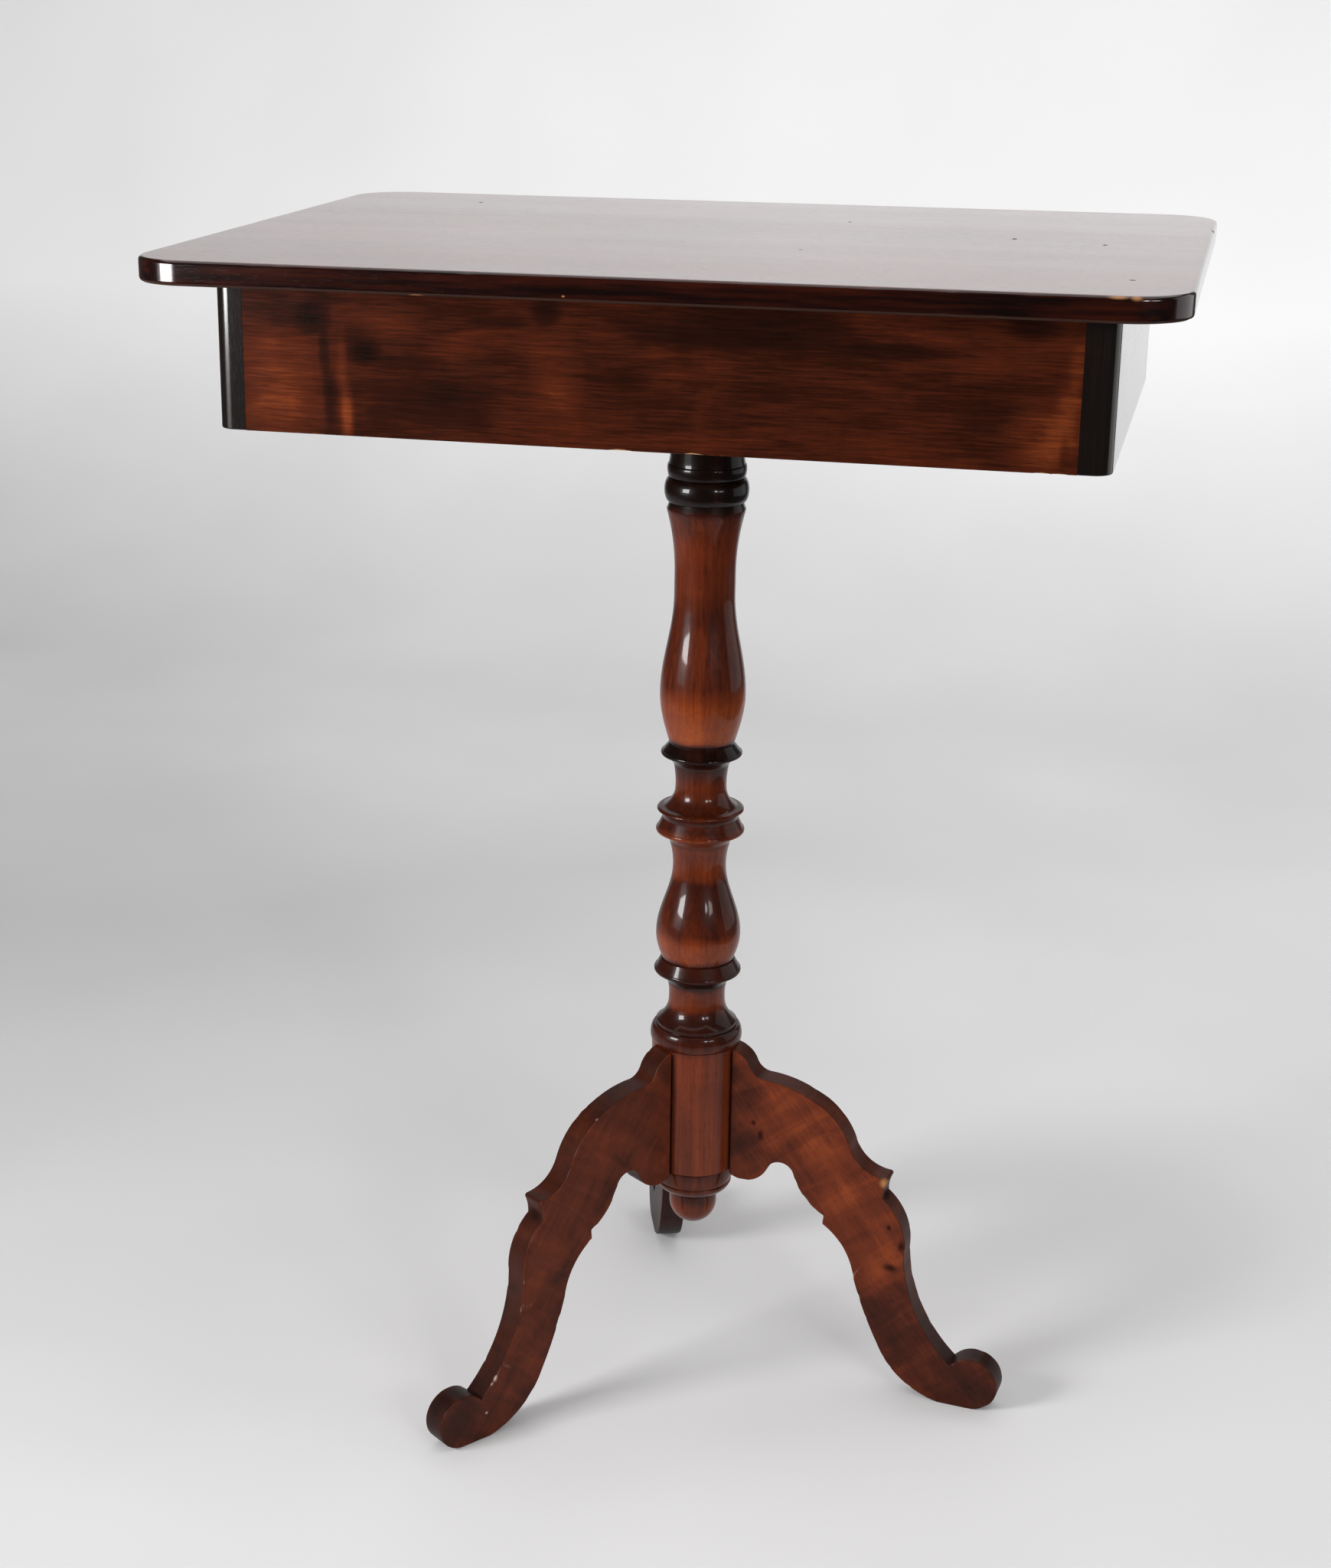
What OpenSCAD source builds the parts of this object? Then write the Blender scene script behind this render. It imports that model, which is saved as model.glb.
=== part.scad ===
// Small pedestal table: a two-board top on a veneered frieze, a turned baluster column
// and three scroll-cut legs housed in the column by sliding dovetails.
// The origin is on the floor, on the column's axis. X runs along the top, and -Y is the front.

/* [Top] */
// Height of the table's upper face
table_h = 750; // [715:1:820]
// Length of the top
top_w = 578; // [560:1:680]
// Depth of the top
top_d = 418; // [400:1:480]
// Thickness of the top's boards
top_t = 14; // [13:0.5:20]
// Plan radius of the top's corners
top_corner_r = 34; // [20:1:60]
// Radius that eases the top's upper and lower arrises
top_ease = 2.5; // [1:0.5:5]
// Depth of the narrow rear board
rear_board_d = 137; // [100:1:160]

/* [Frieze] */
// How far the top overhangs the frieze at its ends
end_overhang = 36.5; // [20:0.5:50]
// How far the top overhangs the frieze at its front and rear
front_overhang = 43; // [25:0.5:55]
// Height of the frieze below the top
frieze_h = 86; // [75:1:90]
// Width of the square corner posts
post_w = 18; // [17:0.5:24]
// Plan radius of the posts' outer corners
post_round = 10; // [4:0.5:16]
// Thickness of the face veneers
veneer_t = 1.2; // [0.6:0.1:2]
// Thickness of the tongues that the rails have in the posts
tongue_t = 5; // [4:0.5:6]
// Length of those tongues
tongue_l = 5; // [3:0.5:5.5]
// Width of the corner blocks on each rail
corner_block_w = 32; // [24:1:40]
// Section of the glue blocks under the top
top_block_w = 22; // [18:1:26]
// Length of the glue blocks under the top
top_block_l = 60; // [40:1:80]
// Shank diameter of the top's screws
screw_d = 4; // [3:0.5:5]
// Length of the top's screws below their heads
screw_l = 24; // [20:1:26]

/* [Bearer] */
// Width of the board that carries the column's tenon
bearer_w = 110; // [90:1:140]
// Thickness of the bearer
bearer_t = 22; // [18:1:28]
// Height of the bearer's lower face above the frieze's lower edge
bearer_rise = 8; // [4:1:14]
// Depth of the bearer's housings in the front and rear rails
housing = 7; // [4:1:9]
// Section of the glue blocks above the bearer
bearer_block_w = 18; // [14:1:22]

/* [Column] */
// Height of the leg block's lower end above the floor
block_z = 142; // [138:1:150]
// Height of the plain leg block
block_h = 87; // [84:1:96]
// Radius of the leg block
block_r = 29; // [27:0.5:32]
// Radius of the bead above the legs
base_bead_r = 30; // [29:0.5:35]
// Radius of the disc below the small vase
disc_r = 28.3; // [26:0.1:33]
// Radius of the small vase
small_vase_r = 27.4; // [25:0.1:32]
// Radius of the neck above the small vase
small_neck_r = 17.1; // [15:0.1:19]
// Radius of the lower of the two rings above the small neck
ring_r = 28.4; // [27:0.1:33]
// Radius of the hollow between the rings and the thin collar
hollow_r = 16.3; // [15:0.1:18]
// Radius of the thin collar below the large vase
collar_r = 25.9; // [24:0.1:31]
// Radius of the large vase
large_vase_r = 27.1; // [25:0.1:32]
// Radius of the long neck
long_neck_r = 19.1; // [17:0.1:22]
// Radius of the bead at the head of the column
head_bead_r = 26.2; // [25.5:0.1:31]
// Radius of the shoulder that bears against the bearer
shoulder_r = 28; // [25:0.5:34]
// Diameter of the tenon at the column's head
tenon_d = 30; // [24:1:36]
// Thickness of the tenon's wedge at its head
wedge_t = 4; // [3:0.5:6]

/* [Legs] */
// Distance of the foot scroll's centre from the column's axis
leg_reach = 197; // [185:1:215]
// Radius of the foot scroll
scroll_r = 17.9; // [16:0.1:21]
// Thickness of the legs
leg_t = 17; // [15:0.5:20]
// Angle of the first leg from the X axis
leg_turn = -7; // [-60:1:60]
// How far the rear leg's socket stands from equal spacing
rear_leg_set = -4; // [-6:0.5:6]
// How much nearer to the axis the rear foot stands
rear_leg_draw = 12; // [0:1:13]
// Depth of the leg's dovetail in the block
dovetail_l = 10; // [8:0.5:11]
// Width of the dovetail at the block's face
dovetail_neck = 8; // [6:0.5:9]
// Width of the dovetail at its inner end
dovetail_w = 11; // [10:0.5:12]
// Height of the dovetail
dovetail_h = 70; // [60:1:78]

/* [Drop] */
// Radius of the half ball
ball_r = 15.7; // [13:0.1:19]
// Height of the ball's widest place below the leg block
ball_drop = 30.4; // [26:0.1:34]
// Diameter of the drop's spigot
spigot_d = 15; // [10:0.5:16]
// Length of the drop's spigot
spigot_l = 22; // [14:1:30]

/* [Hidden] */
$fn = 96;

// Clearance round glued tongues, tenons and screws
glue_gap = 0.15;
// Clearance at the blind ends of tongues, tenons and spigots
end_gap = 0.5;
// How far cutting shapes run past a face
past = 1;

mahogany = [0.42, 0.19, 0.11];
veneer_brown = [0.40, 0.21, 0.11];
ebonised = [0.06, 0.05, 0.05];
pine = [0.78, 0.62, 0.42];
beech = [0.72, 0.54, 0.37];
steel = [0.45, 0.45, 0.46];

// Levels above the floor
frieze_top = table_h - top_t;
frieze_z = frieze_top - frieze_h;
bearer_z = frieze_z + bearer_rise;
bearer_top = bearer_z + bearer_t;
block_top = block_z + block_h;

// Frieze plan: half sizes over the veneers, and to the inner faces of the rails
half_w = top_w / 2 - end_overhang;
half_d = top_d / 2 - front_overhang;
inner_w = half_w - post_w;
inner_d = half_d - post_w;
rail_t = post_w - veneer_t;
// The grooves in the posts stop short of their lower ends
groove_stop = 8;
// Wood left between the two grooves of a post
groove_wall = 1.35;
// Distance of the tongues from the frieze's outer faces, and their height
tongue_in = post_w - tongue_l - tongue_t - end_gap - glue_gap - groove_wall;
tongue_h = frieze_h - groove_stop - end_gap;

// The legs' shoulders lie on flats that are just as wide as the legs
seat_r = sqrt(pow(block_r, 2) - pow(leg_t / 2, 2));
// The drop's ring clears the legs' shoulders
ring_gap = 1.5;
drop_ring_r = seat_r - ring_gap;

// The corner blocks stop short of the frieze's lower edge, and their inner corners are cut off
corner_block_h = frieze_h - groove_stop;
block_chamfer = 10;
// Glue blocks along the front, and the bevel along their lower inner edges
front_blocks = 3;
top_block_bevel = top_block_w / 5;
screw_head_d = 2 * screw_d;
screw_head_h = 0.55 * screw_d;
slot_w = 0.8;
// Depth of the counterbore that sinks a screw's head in its block
head_sink = 4;
// How far the screws enter the top
screw_tip = screw_l - (top_block_w - head_sink);
// Wood left in the tenon below the wedge's kerf
kerf_floor = 3;

// Points along a round moulding of height h from radius r0 to r1 that reaches radius crown
// half way up: a bead where crown is the larger, a hollow where it is the smaller
function rounded(z, h, r0, r1, crown, n = 14) = [for (i = [0 : n])
    let (a = 180 * i / n, s = (1 - cos(a)) / 2)
    [r0 + (r1 - r0) * s + (crown - (r0 + r1) / 2) * sin(a), z + h * s]];

// An S-shaped sweep from radius r0 to r1
function ogee(z, h, r0, r1, n = 16) = [for (i = [0 : n])
    [r0 + (r1 - r0) * (1 - cos(180 * i / n)) / 2, z + h * i / n]];

// A belly that rises fast from r0 and is upright at r1
function swell(z, h, r0, r1, n = 8) = [for (i = [0 : n])
    [r0 + (r1 - r0) * sin(90 * i / n), z + h * i / n]];

// A trumpet that is upright at r0 and opens to r1
function flare(z, h, r0, r1, n = 8) = [for (i = [0 : n])
    [r0 + (r1 - r0) * pow(i / n, 2), z + h * i / n]];

// A cove that draws in fast from a wide foot r0 and is upright at r1
function cove(z, h, r0, r1, n = 14) = [for (i = [0 : n])
    [r1 + (r0 - r1) * pow(1 - i / n, 3), z + h * i / n]];

function straight(z, h, r0, r1) = [[r0, z], [r1, z + h]];

function moulding(m, z) =
    m[0] == "round" ? rounded(z, m[1], m[2], m[3], m[4]) :
    m[0] == "ogee" ? ogee(z, m[1], m[2], m[3]) :
    m[0] == "swell" ? swell(z, m[1], m[2], m[3]) :
    m[0] == "flare" ? flare(z, m[1], m[2], m[3]) :
    m[0] == "cove" ? cove(z, m[1], m[2], m[3]) :
    straight(z, m[1], m[2], m[3]);

// Height of the first k mouldings of a turning
function rise(stick, k) = k == 0 ? 0 : stick[k - 1][1] + rise(stick, k - 1);

function whole_rise(stick) = rise(stick, len(stick));

function turned(stick, z) = [for (k = [0 : len(stick) - 1]) each moulding(stick[k], z + rise(stick, k))];

// Story stick of the column from the leg block up: form, height, foot, head and crown radii.
// The rings and the collar are thin: hollow below, rounded by lip at the edge, sloping above.
lip = 0.9;
cove_r = small_neck_r + 1.2;
upper_ring_r = ring_r - 0.7;
lower_stick = [
    ["round", 11.6, base_bead_r - 2 * lip, base_bead_r - 3 * lip, base_bead_r],
    ["bevel", 2.6, base_bead_r - 4 * lip, base_bead_r - 4 * lip],
    ["cove", 19, base_bead_r - 4.3 * lip, cove_r],
    ["flare", 7.4, cove_r, cove_r + lip],
    ["flare", 8.2, cove_r + lip, disc_r - lip],
    ["round", 2.8, disc_r - lip, disc_r - lip, disc_r],
    ["bevel", 6.4, disc_r - lip, disc_r - 4.3],
    ["swell", 17.6, small_vase_r - 4.2, small_vase_r],
    ["ogee", 47, small_vase_r, small_neck_r],
    ["flare", 15, small_neck_r, small_neck_r + 2.2],
    ["flare", 7.6, small_neck_r + 2.2, ring_r - lip],
    ["round", 2.8, ring_r - lip, ring_r - lip, ring_r],
    ["bevel", 6.6, ring_r - lip, ring_r - 4.1],
    ["flare", 5, ring_r - 4.2, upper_ring_r - lip],
    ["round", 2.4, upper_ring_r - lip, upper_ring_r - 2.5 * lip, upper_ring_r],
    ["cove", 15.8, upper_ring_r - 4.2 * lip, hollow_r],
    ["flare", 11.2, hollow_r, hollow_r + 1.1],
    ["flare", 7.8, hollow_r + 1.1, collar_r - lip],
    ["round", 2.4, collar_r - lip, collar_r - lip, collar_r],
    ["bevel", 5.4, collar_r - lip, collar_r - 5.2],
    ["bevel", 1.9, collar_r - 5.3, collar_r - 5.3],
    ["swell", 30.5, large_vase_r - 5.9, large_vase_r],
    ["ogee", 64, large_vase_r, long_neck_r]];
head_stick = [
    ["flare", 39, long_neck_r, head_bead_r - 1.7],
    ["bevel", 0.9, head_bead_r - 1.7, head_bead_r - 1.7],
    ["bevel", 4, head_bead_r - 1.8, head_bead_r - 3.2],
    ["round", 15.4, head_bead_r - 3.3, head_bead_r - 3.3, head_bead_r],
    ["round", 8.4, head_bead_r - 3.2, head_bead_r - 2.4, head_bead_r - 1.7],
    ["bevel", 4.3, head_bead_r - 2.6, head_bead_r - 3.2],
    ["bevel", 23, head_bead_r - 3.2, head_bead_r - 3.2],
    ["flare", 12, head_bead_r - 3.2, shoulder_r],
    ["bevel", 6, shoulder_r, shoulder_r]];
// The head hangs from the bearer, and the long neck takes up what the table's height leaves
head_z = bearer_z - whole_rise(head_stick);

// Story stick of the drop, downwards from the leg block
drop_stick = [
    ["round", 13, drop_ring_r - 1.2, drop_ring_r - 1.6, drop_ring_r],
    ["round", 7.2, drop_ring_r - 2, drop_ring_r - 6.8, drop_ring_r - 1.9]];
// Below the rings: a step to the neck, the neck, and the upright lip of the half ball
drop_step = 0.8;
drop_neck_r = ball_r - 0.9;
drop_neck_h = 1.2;
ball_lip = 1;

// Points of an arc from p to q whose middle stands out by bulge to the left of the way p to q
function arc(p, q, bulge, n = 8) =
    let (d = q - p, len = norm(d), r = (len * len / 4 + bulge * bulge) / (2 * abs(bulge)),
        side = sign(bulge), left = [-d[1], d[0]] / len,
        c = (p + q) / 2 + left * side * (abs(bulge) - r),
        half = 2 * atan(2 * abs(bulge) / len),
        a0 = atan2((p - c)[1], (p - c)[0]))
    [for (i = [0 : n]) let (a = a0 - side * 2 * half * i / n) c + r * [cos(a), sin(a)]];

// Places of the leg outline by the block's seat
function by_hub(out, up) = [seat_r + out, block_z + up];

hub_top = by_hub(0, block_h - 0.4);
hub_round = by_hub(13.5, block_h - 12.5);
hub_notch = by_hub(22, block_h - 18.6);
knee = by_hub(53, block_h - 26);
shin = by_hub(82.8, 29.6);
spur = by_hub(106.3, 12.6);
spur_tip = by_hub(107.4, 9.8);
spur_notch = by_hub(105.3, -1.5);
step_low = by_hub(65.2, -27.4);
step_high = by_hub(65.8, -21.4);
arch_outer = by_hub(44, 5.4);
arch_inner = by_hub(25.6, 4);
hub_low = by_hub(0, -3);
// Where the outer edge runs into the scroll, as an angle round the scroll's centre
scroll_from = 143;

// Outline of a leg, seen from its right with the column's axis at x = 0. The scroll's centre
// stands at reach.
function leg_outline(reach) =
    let (calf = [reach - 48, 105], pad_inner = [reach - 21, 0],
        ankle = [reach - 63.5, 34], calf_inner = [reach - 81.8, 80],
        scroll_turn = [for (a = [scroll_from : -(scroll_from + 90) / 22 : -90])
            [reach, scroll_r] + scroll_r * [cos(a), sin(a)]])
    concat(
        arc(hub_top, hub_round, 2.4),
        arc(hub_round, hub_notch, -1.3, 5),
        arc(hub_notch, knee, 1.7),
        arc(knee, shin, 4.8),
        arc(shin, spur, -4.4),
        arc(spur, spur_tip, 0.9, 4),
        arc(spur_tip, spur_notch, -0.7, 4),
        arc(spur_notch, calf, 4.7),
        arc(calf, scroll_turn[0], -8.8, 12),
        scroll_turn,
        arc(pad_inner, ankle, 6.8),
        arc(ankle, calf_inner, 1.2, 4),
        arc(calf_inner, step_low, -4.6),
        arc(step_high, arch_outer, 3.5),
        arc(arch_outer, arch_inner, -6.6),
        arc(arch_inner, hub_low, 6));

// Leg 1 is the rear one, and its socket was cut a little off equal spacing
module leg_place(k) {
    rotate([0, 0, leg_turn + 120 * k + (k == 1 ? rear_leg_set : 0)]) children();
}

// Dovetail in plan, pointing from the leg's shoulder towards the axis
module dovetail_plan(gap) {
    inner = seat_r - dovetail_l - gap;
    polygon([[seat_r + past, dovetail_neck / 2 + gap], [inner, dovetail_w / 2 + gap],
        [inner, -dovetail_w / 2 - gap], [seat_r + past, -dovetail_neck / 2 - gap]]);
}

module leg(reach = leg_reach) {
    color(mahogany) union() {
        translate([0, leg_t / 2, 0]) rotate([90, 0, 0]) linear_extrude(leg_t) polygon(leg_outline(reach));
        translate([0, 0, block_z + end_gap]) linear_extrude(dovetail_h - 2 * end_gap) dovetail_plan(0);
    }
}

// Section of a board of width w, its four arrises eased
module eased_section(w, h, e) {
    translate([-w / 2, e]) square([w, h - 2 * e]);
    translate([e - w / 2, 0]) square([w - 2 * e, h]);
    for (x = [e - w / 2, w / 2 - e], y = [e, h - e]) translate([x, y]) circle(e);
}

// The whole top: one length of eased section each way, and eased discs at the corners
module top_slab() {
    r = top_corner_r;
    translate([0, 0, frieze_top]) {
        translate([r - top_w / 2, 0, 0]) rotate([90, 0, 90])
            linear_extrude(top_w - 2 * r) eased_section(top_d, top_t, top_ease);
        translate([0, top_d / 2 - r, 0]) rotate([90, 0, 0])
            linear_extrude(top_d - 2 * r) eased_section(top_w, top_t, top_ease);
        for (sx = [-1, 1], sy = [-1, 1]) translate([sx * (top_w / 2 - r), sy * (top_d / 2 - r), 0])
            rotate_extrude() intersection() {
                eased_section(2 * r, top_t, top_ease);
                square([r, top_t]);
            }
    }
}

// Places of the top's glue blocks: x, y, and the turn that puts the rail at their back
front_pitch = (2 * inner_w - 2 * corner_block_w) / front_blocks;
top_block_places = concat(
    [for (i = [0 : front_blocks - 1], s = [-1, 1])
        [(i - (front_blocks - 1) / 2) * front_pitch, s * inner_d, s > 0 ? 180 : 0]],
    [for (s = [-1, 1]) [s * inner_w, 0, s > 0 ? 90 : -90]]);

module each_top_block() {
    for (p = top_block_places) translate([p[0], p[1], frieze_top]) rotate([0, 0, p[2]]) children();
}

module screw_holes(up) {
    each_top_block() translate([0, top_block_w / 2, -top_block_w - past])
        cylinder(h = top_block_w + past + up, d = screw_d + 2 * glue_gap);
}

module top_board(front) {
    joint_y = top_d / 2 - rear_board_d;
    color(mahogany) difference() {
        intersection() {
            top_slab();
            translate([-top_w, front ? joint_y - top_d : joint_y, frieze_top - past])
                cube([2 * top_w, top_d, top_t + 2 * past]);
        }
        screw_holes(screw_tip + end_gap);
    }
}

module top_board_front() {
    top_board(true);
}

module top_board_rear() {
    top_board(false);
}

// A veneer between two posts, drawn for the front: length len on the face at depth half
module veneer(len, half) {
    color(veneer_brown) translate([-len / 2, -half, frieze_z]) cube([len, veneer_t, frieze_h]);
}

module veneer_front() {
    veneer(2 * inner_w, half_d);
}

module veneer_rear() {
    rotate([0, 0, 180]) veneer(2 * inner_w, half_d);
}

module veneer_left() {
    rotate([0, 0, -90]) veneer(2 * inner_d, half_w);
}

module veneer_right() {
    rotate([0, 0, 90]) veneer(2 * inner_d, half_w);
}

// A rail core with a tongue at each end, drawn for the front
module rail(len, half) {
    translate([-len / 2, veneer_t - half, frieze_z]) cube([len, rail_t, frieze_h]);
    translate([-len / 2 - tongue_l, tongue_in - half, frieze_top - tongue_h])
        cube([len + 2 * tongue_l, tongue_t, tongue_h]);
}

module housed_rail() {
    color(pine) difference() {
        rail(2 * inner_w, half_d);
        translate([-bearer_w / 2 - glue_gap, -inner_d - housing - end_gap, bearer_z])
            cube([bearer_w + 2 * glue_gap, housing + end_gap + past, bearer_t]);
    }
}

module rail_front() {
    housed_rail();
}

module rail_rear() {
    rotate([0, 0, 180]) housed_rail();
}

module rail_left() {
    color(pine) rotate([0, 0, -90]) rail(2 * inner_d, half_w);
}

module rail_right() {
    color(pine) rotate([0, 0, 90]) rail(2 * inner_d, half_w);
}

// A post with a round outer corner and its two stopped grooves, at the front right corner
module post() {
    w = post_w;
    r = post_round;
    color(ebonised) difference() {
        translate([inner_w, -half_d, frieze_z]) linear_extrude(frieze_h) intersection() {
            square(w);
            union() {
                square([w - r, w]);
                translate([0, r]) square(w);
                translate([w - r, r]) circle(r);
            }
        }
        translate([inner_w - past, tongue_in - half_d - glue_gap, frieze_z + groove_stop])
            cube([past + tongue_l + end_gap, tongue_t + 2 * glue_gap, frieze_h]);
        translate([half_w - tongue_in - tongue_t - glue_gap, -inner_d - tongue_l - end_gap,
            frieze_z + groove_stop])
            cube([tongue_t + 2 * glue_gap, tongue_l + end_gap + past, frieze_h]);
    }
}

module post_front_right() {
    post();
}

module post_front_left() {
    mirror([1, 0, 0]) post();
}

module post_rear_right() {
    mirror([0, 1, 0]) post();
}

module post_rear_left() {
    rotate([0, 0, 180]) post();
}

// Glue blocks behind the posts, chamfered on their inner corners
module corner_blocks() {
    w = corner_block_w;
    c = block_chamfer;
    color(pine) for (sx = [0, 1], sy = [0, 1]) mirror([sx, 0, 0]) mirror([0, sy, 0])
        translate([-inner_w, -inner_d, frieze_top - corner_block_h])
            linear_extrude(corner_block_h) polygon([[0, 0], [w, 0], [w, w - c], [w - c, w], [0, w]]);
}

module top_blocks() {
    w = top_block_w;
    b = top_block_bevel;
    color(pine) each_top_block() difference() {
        translate([-top_block_l / 2, 0, 0]) rotate([90, 0, 90]) linear_extrude(top_block_l)
            polygon([[0, 0], [w, 0], [w, b - w], [w - b, -w], [0, -w]]);
        translate([0, w / 2, -w - past]) cylinder(h = w + 2 * past, d = screw_d + 2 * glue_gap);
        translate([0, w / 2, -w - past]) cylinder(h = head_sink + past, d = screw_head_d + 2 * glue_gap);
    }
}

module top_screws() {
    color(steel) each_top_block() translate([0, top_block_w / 2, head_sink - top_block_w])
        difference() {
            union() {
                translate([0, 0, -screw_head_h]) cylinder(h = screw_head_h, d = screw_head_d);
                cylinder(h = screw_l, d = screw_d);
            }
            translate([-screw_d - past, -slot_w / 2, -screw_head_h - past])
                cube([2 * (screw_d + past), slot_w, past + slot_w]);
        }
}

module bearer() {
    len = 2 * (inner_d + housing);
    color(pine) difference() {
        translate([-bearer_w / 2, -len / 2, bearer_z]) cube([bearer_w, len, bearer_t]);
        translate([0, 0, bearer_z - past]) cylinder(h = bearer_t + 2 * past, d = tenon_d + 2 * glue_gap);
    }
}

// Triangular glue blocks in the angles between the bearer and the rails
module bearer_blocks() {
    w = bearer_block_w;
    color(pine) for (s = [0, 180]) rotate([0, 0, s]) translate([bearer_w / 2, -inner_d, bearer_top])
        rotate([0, -90, 0]) linear_extrude(bearer_w) polygon([[0, 0], [w, 0], [0, w]]);
}

// The wedge is a slim taper in a kerf of the same taper, right across the tenon
module wedge_shape(gap) {
    foot_t = wedge_t / 3;
    low = kerf_floor - bearer_t - gap;
    translate([-tenon_d / 2 - gap, 0, bearer_top]) rotate([90, 0, 90]) linear_extrude(tenon_d + 2 * gap)
        polygon([[-foot_t / 2 - gap, low], [foot_t / 2 + gap, low],
            [wedge_t / 2 + gap, gap], [-wedge_t / 2 - gap, gap]]);
}

module column() {
    profile = concat([[0, block_z], [block_r, block_z], [block_r, block_top]],
        turned(lower_stick, block_top), turned(head_stick, head_z),
        [[tenon_d / 2, bearer_z], [tenon_d / 2, bearer_top], [0, bearer_top]]);
    color(mahogany) difference() {
        rotate_extrude() polygon(profile);
        for (k = [0 : 2]) leg_place(k) {
            translate([0, 0, block_z - past]) linear_extrude(past + dovetail_h) dovetail_plan(glue_gap);
            translate([seat_r, -leg_t, block_z - past]) cube([block_r, 2 * leg_t, block_h + past]);
        }
        translate([0, 0, block_z - past])
            cylinder(h = past + spigot_l + end_gap, d = spigot_d + 2 * glue_gap);
        wedge_shape(glue_gap);
    }
}

module tenon_wedge() {
    color(beech) intersection() {
        wedge_shape(0);
        cylinder(h = table_h, d = tenon_d);
    }
}

module leg_right() {
    leg_place(0) leg();
}

module leg_rear() {
    leg_place(1) leg(leg_reach - rear_leg_draw);
}

module leg_left() {
    leg_place(2) leg();
}

// The drop hangs below the block and closes the lower ends of the dovetail sockets
module drop() {
    ring_h = whole_rise(drop_stick);
    neck_low = ring_h + drop_neck_h;
    ball = [for (a = [0 : 7.5 : 90]) [ball_r * cos(a), ball_drop + ball_r * sin(a)]];
    profile = concat([[0, -spigot_l], [spigot_d / 2, -spigot_l], [spigot_d / 2, 0]],
        turned(drop_stick, 0),
        [[drop_neck_r, ring_h + drop_step], [drop_neck_r, neck_low]],
        swell(neck_low, ball_drop - ball_lip - neck_low, drop_neck_r, ball_r), ball);
    color(mahogany) translate([0, 0, block_z]) mirror([0, 0, 1]) rotate_extrude() polygon(profile);
}

top_board_front();
top_board_rear();
veneer_front();
veneer_rear();
veneer_left();
veneer_right();
rail_front();
rail_rear();
rail_left();
rail_right();
post_front_left();
post_front_right();
post_rear_left();
post_rear_right();
corner_blocks();
top_blocks();
top_screws();
bearer();
bearer_blocks();
column();
tenon_wedge();
leg_right();
leg_left();
leg_rear();
drop();
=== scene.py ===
import math

import bmesh
import bpy
from mathutils import Euler, Matrix, Vector, noise


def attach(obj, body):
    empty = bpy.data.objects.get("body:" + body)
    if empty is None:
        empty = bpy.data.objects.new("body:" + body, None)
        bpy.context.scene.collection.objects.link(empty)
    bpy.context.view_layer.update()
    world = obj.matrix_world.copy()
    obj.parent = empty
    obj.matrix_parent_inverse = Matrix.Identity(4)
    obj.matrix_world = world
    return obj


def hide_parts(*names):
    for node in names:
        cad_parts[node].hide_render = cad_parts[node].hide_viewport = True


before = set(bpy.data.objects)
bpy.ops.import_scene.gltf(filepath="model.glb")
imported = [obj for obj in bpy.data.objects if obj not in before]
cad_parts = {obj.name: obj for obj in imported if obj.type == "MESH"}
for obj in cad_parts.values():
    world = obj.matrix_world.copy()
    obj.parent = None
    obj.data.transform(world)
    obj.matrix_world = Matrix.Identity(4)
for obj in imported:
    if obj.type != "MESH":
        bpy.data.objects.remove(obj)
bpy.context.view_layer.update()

mm = 0.001
print("frame loaded:", len(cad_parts), "nodes")


# ways of working on a mesh
def putToolsDown():
    if bpy.context.mode != "OBJECT":
        bpy.ops.object.mode_set(mode="OBJECT")
    bpy.ops.object.select_all(action="DESELECT")


def takeUp(piece):
    putToolsDown()
    piece.select_set(True)
    bpy.context.view_layer.objects.active = piece


def openMesh(piece):
    takeUp(piece)
    bpy.ops.object.mode_set(mode="EDIT")
    bpy.ops.mesh.select_all(action="DESELECT")


def pick(kind, test):
    bpy.ops.mesh.select_mode(type=kind)
    bpy.ops.mesh.select_all(action="DESELECT")
    mesh = bmesh.from_edit_mesh(bpy.context.object.data)
    for part in {"VERT": mesh.verts, "EDGE": mesh.edges}[kind]:
        if test(part):
            part.select_set(True)
    bmesh.update_edit_mesh(bpy.context.object.data)


def near(a, b, slack=0.02 * mm):
    return abs(a - b) < slack


def middle(edge):
    return (edge.verts[0].co + edge.verts[1].co) / 2


def along(edge, axis):
    way = (edge.verts[1].co - edge.verts[0].co).normalized()
    return abs(way[axis]) > 0.999


def newBlock(name, low, high):
    putToolsDown()
    low, high = Vector(low), Vector(high)
    bpy.ops.mesh.primitive_cube_add(size=1, location=(low + high) / 2, scale=high - low)
    bpy.ops.object.transform_apply(location=True, rotation=True, scale=True)
    piece = bpy.context.object
    piece.name = name
    return piece


# a line drawn point by point, each extruded from the one before
def drawLine(name, points):
    putToolsDown()
    bpy.ops.mesh.primitive_plane_add(size=1 * mm, location=points[0])
    piece = bpy.context.object
    piece.name = name
    bpy.ops.object.transform_apply(location=True, rotation=True, scale=True)
    openMesh(piece)
    bpy.ops.mesh.select_mode(type="VERT")
    bpy.ops.mesh.select_all(action="SELECT")
    bpy.ops.mesh.merge(type="CENTER")
    for last, now in zip(points, points[1:]):
        bpy.ops.mesh.extrude_region_move(TRANSFORM_OT_translate={"value": now - last})
    return piece


def applyAll(piece):
    takeUp(piece)
    for modifier in list(piece.modifiers):
        bpy.ops.object.modifier_apply(modifier=modifier.name)


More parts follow.
